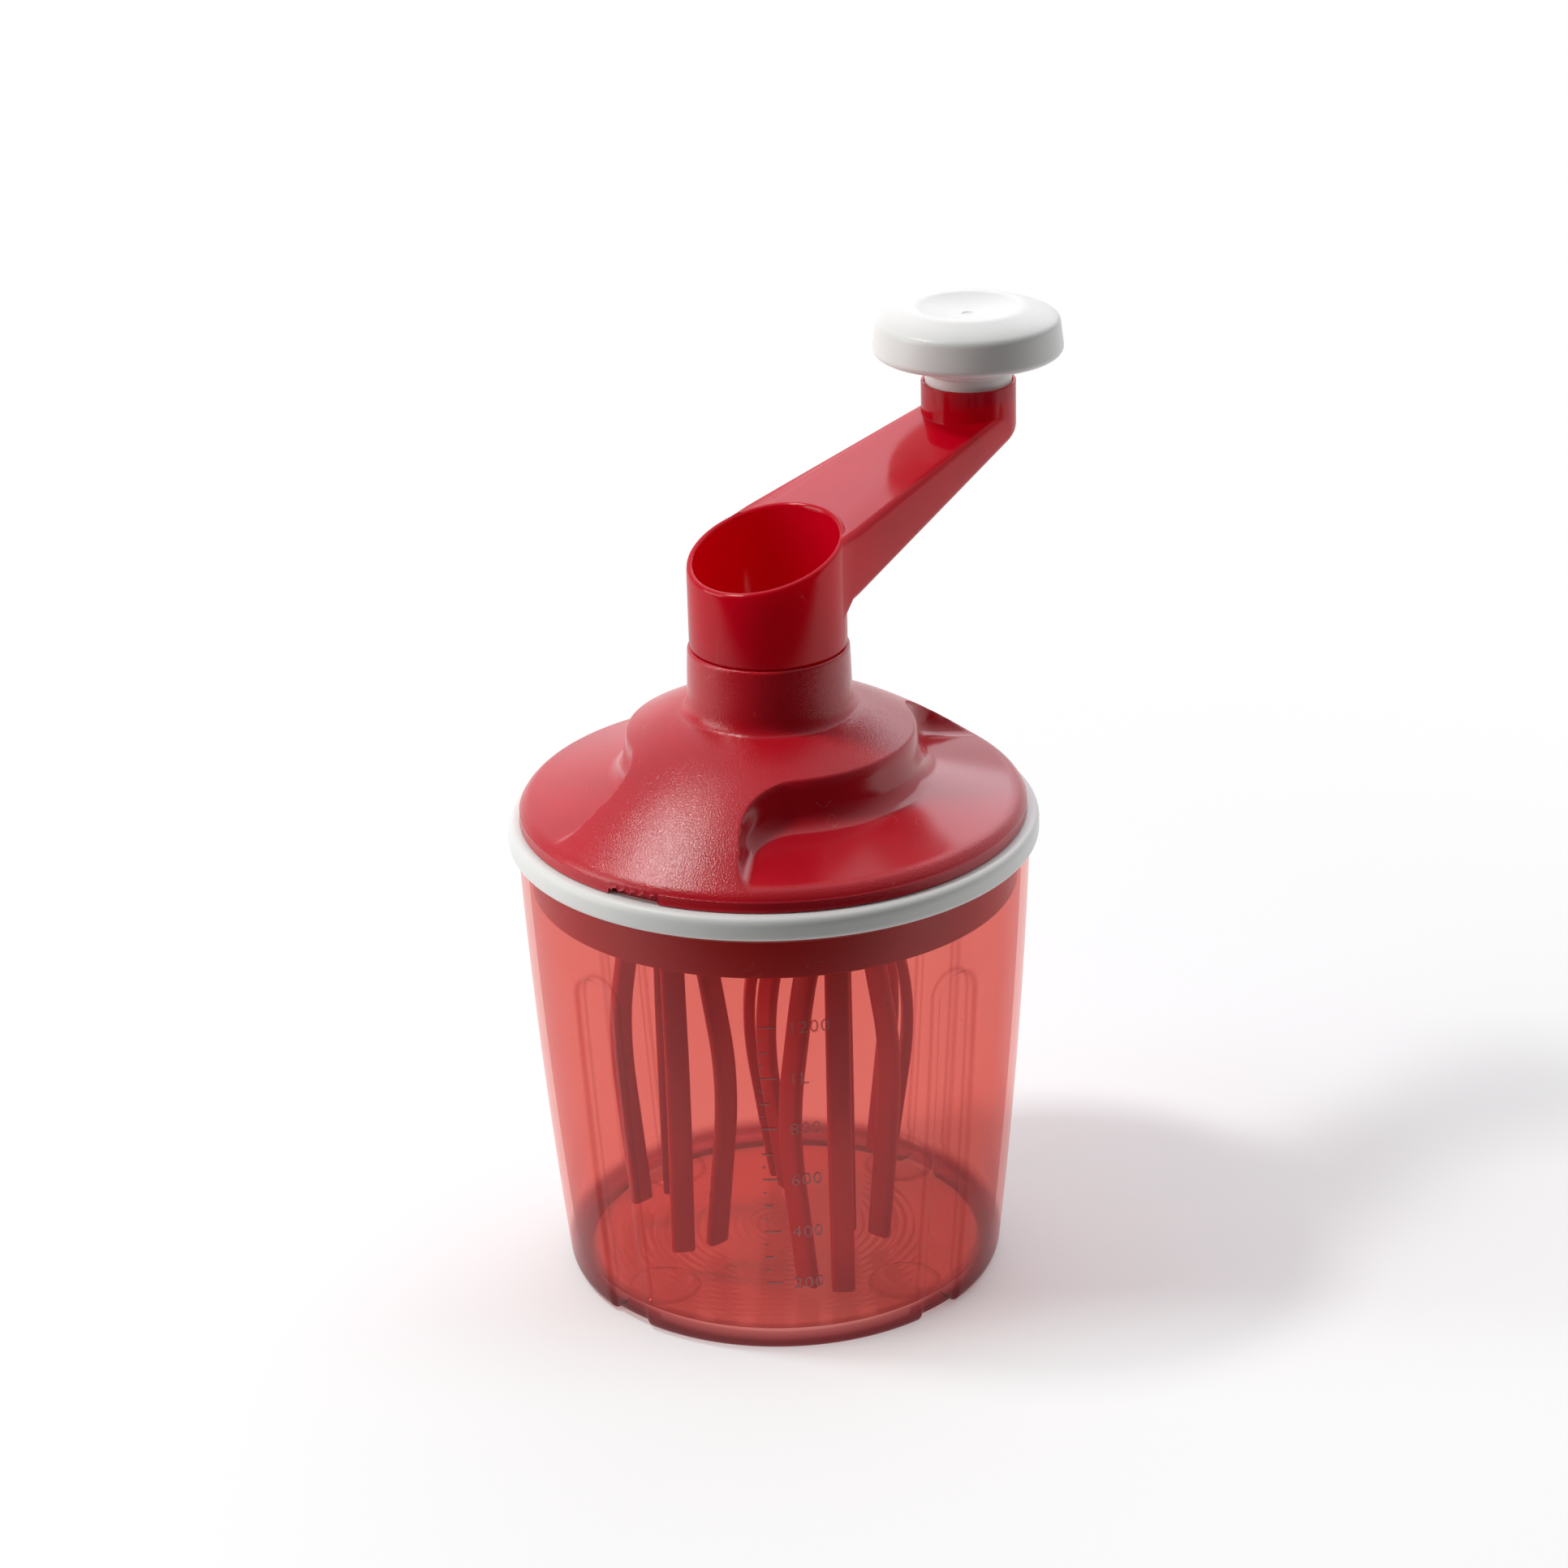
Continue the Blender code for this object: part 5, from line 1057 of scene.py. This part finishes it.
def crank_arm():
    """Arm between hub and boss: its side outline crossed with its plan outline, edges rounded."""
    start = GUSSET_REACH
    end = ARM_REACH + ARM_BOSS_RADIUS + 0.006
    drop = GUSSET_DROP
    low = arm_bottom(start) - drop
    side = [(start - 2 * drop, low), (start - 0.4 * drop, low),
            (start + 0.6 * drop, arm_bottom(start + 0.6 * drop)), (end, arm_bottom(end)),
            (end, ARM_TIP_TOP), (ARM_REACH, ARM_TIP_TOP),
            (start - 2 * drop, arm_top(start - 2 * drop))]
    arm = outline_object("arm", side, 4 * ARM_ROOT_HALF_WIDTH)
    upright = Matrix.Rotation(radians(90), 4, "X")
    arm.matrix_world = Matrix.Translation((AXIS_X, 0, 0)) @ upright
    lean = asin((ARM_ROOT_HALF_WIDTH - ARM_BOSS_RADIUS) / (ARM_REACH - ARM_ROOT_REACH))
    plan = [(0.0, -ARM_ROOT_HALF_WIDTH), (ARM_ROOT_REACH, -ARM_ROOT_HALF_WIDTH)]
    plan += [(ARM_REACH + ARM_BOSS_RADIUS * cos(angle), ARM_BOSS_RADIUS * sin(angle))
             for angle in steps_between(lean - pi / 2, pi / 2 - lean, 40)]
    plan += [(ARM_ROOT_REACH, ARM_ROOT_HALF_WIDTH), (0.0, ARM_ROOT_HALF_WIDTH)]
    footprint = outline_object("arm_plan", plan, 2 * ARM_REACH)
    footprint.location = (AXIS_X, 0, ARM_ROOT_TOP)
    combine(arm, footprint, "INTERSECT")
    rounding = arm.modifiers.new("edges", "BEVEL")
    rounding.width = ARM_EDGE
    rounding.segments = 4
    rounding.limit_method = "ANGLE"
    rounding.angle_limit = radians(40)
    root_bore = post("arm_root_bore", HUB_RADIUS - HUB_WALL / 2, HUB_BOTTOM - 0.0114,
                     ARM_TIP_TOP + 0.026, 0.0)
    combine(arm, root_bore, "DIFFERENCE")
    return combine(arm, arm_channel(), "DIFFERENCE")


def crank_shape(radius, height, tag, azimuth):
    if tag == "rim":
        slant = RIM_SLANT * cos(azimuth) * radius / HUB_RADIUS
        return radius, RIM_MIDDLE_HEIGHT + slant + height
    return radius, height


def make_crank():
    """Funnel hub with a slanted round lip, gear tube and drip pipe, joined to the hollow arm."""
    pipe = DRIP_BORE + DRIP_WALL
    slope = (FUNNEL_CONE_TOP - FUNNEL_CONE_BOTTOM) / (FUNNEL_RADIUS - DRIP_BORE)
    wall = HUB_WALL * 1.6
    middle = (FUNNEL_RADIUS + HUB_RADIUS) / 2
    lip = [(FUNNEL_RADIUS, -0.0016)]
    lip += corner((FUNNEL_RADIUS + 0.0001, -0.0006), (FUNNEL_RADIUS + 0.0002, 0.0),
                  (middle, 0.0), 4)
    lip += corner((middle, 0.0), (HUB_RADIUS - 0.0001, 0.0), (HUB_RADIUS - 0.0001, -0.0007), 4)[1:]
    lip += [(HUB_RADIUS, -0.0016)]
    profile = tagged(lip, "rim")
    points = [(HUB_RADIUS, FUNNEL_STRAIGHT_TOP)]
    points += lower_corner(HUB_RADIUS, HUB_BOTTOM, HUB_EDGE, HUB_EDGE, 3)
    points += [(TUBE_RADIUS, HUB_BOTTOM), (TUBE_RADIUS, RING_GROOVE_TOP),
               (RING_GROOVE_RADIUS, RING_GROOVE_TOP), (RING_GROOVE_RADIUS, RING_GROOVE_BOTTOM),
               (TUBE_RADIUS, RING_GROOVE_BOTTOM), (TUBE_RADIUS, GEAR_SEAT_TOP),
               (GEAR_SEAT_RADIUS, GEAR_SEAT_TOP), (GEAR_SEAT_RADIUS, GEAR_SEAT_BOTTOM),
               (GEAR_SEAT_RADIUS + GEAR_LIP_WIDTH, GEAR_SEAT_BOTTOM),
               (GEAR_SEAT_RADIUS, TUBE_BOTTOM), (TUBE_BORE, TUBE_BOTTOM),
               (TUBE_BORE, FUNNEL_CONE_BOTTOM + (TUBE_BORE - DRIP_BORE) * slope - wall),
               (pipe, FUNNEL_CONE_BOTTOM + (pipe - DRIP_BORE) * slope - wall),
               (pipe, DRIP_PIPE_BOTTOM), (DRIP_BORE, DRIP_PIPE_BOTTOM)]
    points += corner((DRIP_BORE, FUNNEL_CONE_BOTTOM - 0.0004), (DRIP_BORE, FUNNEL_CONE_BOTTOM),
                     (DRIP_BORE + 0.0004, FUNNEL_CONE_BOTTOM + 0.0004 * slope), 3)
    points += corner((FUNNEL_RADIUS - 0.0022, FUNNEL_CONE_TOP - 0.0022 * slope),
                     (FUNNEL_RADIUS, FUNNEL_CONE_TOP), (FUNNEL_RADIUS, FUNNEL_CONE_TOP + 0.0024), 6)
    points += [(FUNNEL_RADIUS, FUNNEL_STRAIGHT_TOP)]
    crank = turned_piece("crank_body", profile + tagged(points), even_turn(128), shape=crank_shape)
    combine(crank, crank_arm(), "UNION")
    combine(crank, post("arm_boss", ARM_BOSS_RADIUS, ARM_BOSS_BOTTOM, ARM_BOSS_TOP, ARM_REACH),
            "UNION")
    combine(crank, post("boss_recess", KNOB_NECK_RADIUS + PIN_CLEARANCE, BOSS_FLOOR,
                        KNOB_BAND_BOTTOM, ARM_REACH), "DIFFERENCE")
    combine(crank, post("pin_socket", PIN_RADIUS + PIN_CLEARANCE, PIN_SOCKET_BOTTOM,
                        BOSS_FLOOR + 0.0020, ARM_REACH), "DIFFERENCE")
    return finish_piece(bake("crank_moulding", crank), "gloss_red", "crank", "crank")


# Knob and whisks

def make_knob():
    """Knob with a dished top, a small gate mark in the dish and a pin bore from below."""
    def dish(radius):
        gate = 0.00030 * ease(0.0019, 0.0015, radius) - 0.00016 * ease(0.0010, 0.0002, radius)
        return KNOB_TOP - KNOB_DISH_DEPTH * (1 - (radius / KNOB_DISH_RADIUS) ** 2) - gate

    brow = (KNOB_BROW_RADIUS, KNOB_TOP - 0.0032)
    shoulder = (KNOB_SHOULDER_RADIUS, KNOB_TOP - 0.0008)
    underside = (KNOB_UNDERSIDE_RADIUS, KNOB_BAND_BOTTOM - 0.0007)
    collar_top = KNOB_BOTTOM - 0.0006
    radii = steps_between(0.0, 0.0022, 14) + steps_between(0.0022, KNOB_DISH_EDGE, 20)[1:]
    points = [(radius, dish(radius)) for radius in radii]
    points += corner(points[-1], (0.0152, KNOB_TOP + 0.0002), shoulder, 8)[1:]
    points += corner(shoulder, (0.0222, KNOB_TOP - 0.0020), brow, 6)[1:]
    points += corner(brow, (0.0256, KNOB_TOP - 0.0039),
                     (KNOB_BAND_TOP_RADIUS, KNOB_TOP - 0.0054), 7)[1:]
    points += corner((KNOB_RADIUS - 0.0001, KNOB_BAND_BOTTOM + 0.0014),
                     (KNOB_RADIUS, KNOB_BAND_BOTTOM), underside, 8)
    points += corner(underside, (0.0215, KNOB_BOTTOM - 0.0002), (0.0165, KNOB_BOTTOM - 0.0003),
                     5)[1:]
    points += corner((0.0150, KNOB_BOTTOM - 0.0004), (KNOB_COLLAR_RADIUS, collar_top),
                     (KNOB_COLLAR_RADIUS, collar_top - 0.0015), 5)
    points += lower_corner(KNOB_COLLAR_RADIUS, KNOB_COLLAR_BOTTOM, 0.0006, 0.0006, 4)
    bore = PIN_RADIUS + 0.0004
    points += [(KNOB_NECK_RADIUS, KNOB_COLLAR_BOTTOM - 0.0006),
               (KNOB_NECK_RADIUS, KNOB_NECK_BOTTOM), (bore, KNOB_NECK_BOTTOM),
               (bore, PIN_BORE_TOP), (0.0, PIN_BORE_TOP)]
    knob = turned_piece("grip_knob", tagged(points), even_turn(144), spot_at(ARM_REACH, 0.0))
    return finish_piece(knob, "off_white", "knob", "knob")


def tine_path():
    """Side view of a tine as (radius, height): out over a shoulder to the knee, then in."""
    root, shoulder, knee, tip = (Vector(point) for point in TINE_CORNERS)
    path = [root]
    for before, point, after in ((root, shoulder, knee), (shoulder, knee, tip)):
        path += [Vector(spot) for spot in corner(point.lerp(before, TINE_BEND), point,
                                                 point.lerp(after, TINE_BEND), 10)]
    path += [knee.lerp(tip, share) for share in (0.6, 0.8, 0.95)]
    return path + [tip]


def tine_rows(spot, facing):
    """Rows of a flat bar with rounded corners, swept down its path and rounded at the tip."""
    path = tine_path()
    rows = [(point, (ahead - behind).normalized(), 1.0)
            for behind, point, ahead in zip(path[:1] + path, path, path[1:] + path[-1:])]
    tip, along = path[-1], rows[-1][1]
    rows += [(tip + along * TINE_TIP_ROUND * sin(turn), along, cos(turn))
             for turn in (0.5, 0.95, 1.3)]
    made = []
    for point, along, size in rows:
        across = Vector((-along.y, along.x))
        row = []
        for turn in even_turn(TINE_SIDES):
            cos_turn, sin_turn = cos(turn), sin(turn)
            thick = copysign(abs(cos_turn) ** 0.55, cos_turn) * TINE_THICKNESS / 2
            wide = copysign(abs(sin_turn) ** 0.45, sin_turn) * TINE_WIDTH / 2
            thick *= size
            wide *= 1.0 - (1.0 - size) * 0.35
            out = point.x + across.x * thick
            row.append((spot[0] + out * cos(facing) - wide * sin(facing),
                        spot[1] + out * sin(facing) + wide * cos(facing),
                        point.y + across.y * thick))
        made.append(row)
    return made


def make_whisk(number):
    """Hub with four tines in two opposite pairs."""
    spot = spot_at(WHISK_REACH, WHISK_ANGLES[number])
    verts, faces = [], []
    socket = WHISK_SOCKET_RADIUS
    points = [(0.0, WHISK_SOCKET_TOP), (socket, WHISK_SOCKET_TOP),
              (socket, WHISK_HUB_TOP - 0.0004), (socket + 0.0004, WHISK_HUB_TOP)]
    points += upper_corner(WHISK_HUB_RADIUS, WHISK_HUB_TOP, 0.0012, 5)
    points += lower_corner(WHISK_HUB_RADIUS, WHISK_HUB_BOTTOM, WHISK_HUB_RADIUS / 2, 0.0040, 8)
    points += [(0.0, WHISK_HUB_BOTTOM)]
    add_rows(verts, faces, turned_rows(tagged(points), even_turn(48), spot), False)
    for turn in (TINE_HALF_ANGLE, -TINE_HALF_ANGLE, pi + TINE_HALF_ANGLE,
                 pi - TINE_HALF_ANGLE):
        rows = tine_rows(spot, WHISK_TURNS[number] + turn)
        base = len(verts)
        add_rows(verts, faces, rows, False)
        faces.append(tuple(base + index for index in range(TINE_SIDES)))
        faces.append(tuple(len(verts) - 1 - index for index in range(TINE_SIDES)))
    tag = str(number + 1)
    whisk = mesh_from("paddle_whisk_" + tag, verts, faces)
    return finish_piece(whisk, "dark_red", "whisk_drive_" + tag, "whisk_" + tag)


# Light and floor

def soft_light(name, place, size, power, colour):
    """Soft box that faces the bowl, placed in the camera's own directions."""
    data = bpy.data.lights.new(name, "AREA")
    data.shape = "RECTANGLE"
    data.size, data.size_y = size
    data.energy = power
    data.color = colour
    light = bpy.data.objects.new(name, data)
    light.location = CAMERA_SIDE @ Vector(place)
    aim = CAMERA_SIDE @ Vector((0.0, 0.0, LIGHT_AIM_HEIGHT))
    light.rotation_euler = (aim - light.location).to_track_quat("-Z", "Y").to_euler()
    SCENE.collection.objects.link(light)


def light_world():
    """White backdrop for the camera; for all else a studio, bright behind and dim in front."""
    world = bpy.data.worlds.new("studio")
    world.use_nodes = True
    tree = world.node_tree
    tree.nodes.clear()
    direction = node(tree, "TexCoord").outputs["Generated"]
    behind = (CAMERA_SIDE.to_3x3() @ Vector((0.25, 0.90, 0.35))).normalized()
    towards = vector_maths(tree, "DOT_PRODUCT", direction, behind, "Value")
    place = maths(tree, "ADD", times(tree, towards, 0.5), 0.5)
    glow = ramp(tree, place, ((0.22, 0.015), (0.50, 0.17), (0.68, (0.59, 0.58, 0.62)),
                              (0.86, (0.98, 0.96, 1.0))))
    soft = ramp(tree, place, ((0.22, 0.11), (0.50, 0.21), (0.68, 0.52), (0.86, 0.92)))
    path = node(tree, "LightPath").outputs
    strength = mix_colour(tree, path["Is Glossy Ray"], soft, glow)
    strength = mix_colour(tree, path["Is Camera Ray"], strength, WHITE)
    node(tree, "OutputWorld", {"Surface": coloured(tree, "Background", strength)})
    SCENE.world = world


def light_scene():
    light_world()
    soft_light("key", (-0.66, 0.02, 1.25), (0.18, 0.18), 7.0, (1.0, 0.995, 0.985))
    soft_light("back", (0.44, 1.17, 0.92), (1.35, 0.8), 5.6, (0.94, 0.91, 1.0))
    soft_light("side", (-1.15, -0.16, 0.48), (0.70, 0.70), 6.2, (1.0, 0.99, 0.97))
    view = SCENE.view_settings
    view.view_transform = "Standard"
    view.look = "None"
    view.exposure = 0.0
    view.gamma = 1.0


def make_floor():
    """Paper sweep that glows white far off and in front, and looks dim in front to the object."""
    mesh = bpy.data.meshes.new("floor")
    mesh.from_pydata([(-9, -9, 0), (9, -9, 0), (9, 9, 0), (-9, 9, 0)], [], [(0, 1, 2, 3)])
    floor = bpy.data.objects.new("floor", mesh)
    floor.location = (0, 0, -0.0002)
    SCENE.collection.objects.link(floor)
    material, tree = new_material("paper_sweep")
    tone = mix_colour(tree, noise(tree, 3.0, 3.0), (0.955, 0.955, 0.970, 1.0),
                      (0.975, 0.975, 0.985, 1.0))
    paper = node(tree, "BsdfPrincipled", {"Base Color": tone, "Roughness": 0.9,
                                          "Specular IOR Level": 0.1})
    glow = coloured(tree, "Emission", WHITE)
    away = vector_maths(tree, "LENGTH", coords(tree), result="Value")
    towards_camera = CAMERA_SIDE.to_3x3() @ Vector((0.0, -1.0, 0.0))
    ahead = vector_maths(tree, "DOT_PRODUCT", coords(tree), towards_camera, "Value")
    share = maths(tree, "MAXIMUM", smooth_range(tree, away, 0.08, 0.50, 0.16, 1.0),
                  smooth_range(tree, ahead, 0.02, 0.11, 0.0, 0.68))
    lit = mix_shader(tree, share, paper.outputs[0], glow)
    seen = node(tree, "LightPath").outputs["Is Camera Ray"]
    dim = times(tree, smooth_range(tree, ahead, 0.12, 0.34), maths(tree, "SUBTRACT", 1.0, seen))
    dark = coloured(tree, "BsdfDiffuse", (0.03, 0.03, 0.03, 1.0))
    output(tree, mix_shader(tree, dim, lit, dark))
    mesh.materials.append(material)


def dress_nodes():
    """Give every CAD node the finish of its material slot."""
    slots = {entry["node"]: entry["material_slot"] for entry in frame["record"]["subparts"]}
    for name, obj in frame["nodes"].items():
        obj.data.materials.clear()
        obj.data.materials.append(MATERIALS[slots[name]])
        obj.data.shade_smooth()
        obj.data.set_sharp_from_angle(angle=radians(32))


place_camera()
light_scene()
make_floor()
dress_nodes()
make_bowl()
make_marks()
make_seal_ring()
make_cover()
make_case()
make_crank()
make_knob()
for whisk in range(3):
    make_whisk(whisk)
bpy.data.collections.remove(WORKSHOP)
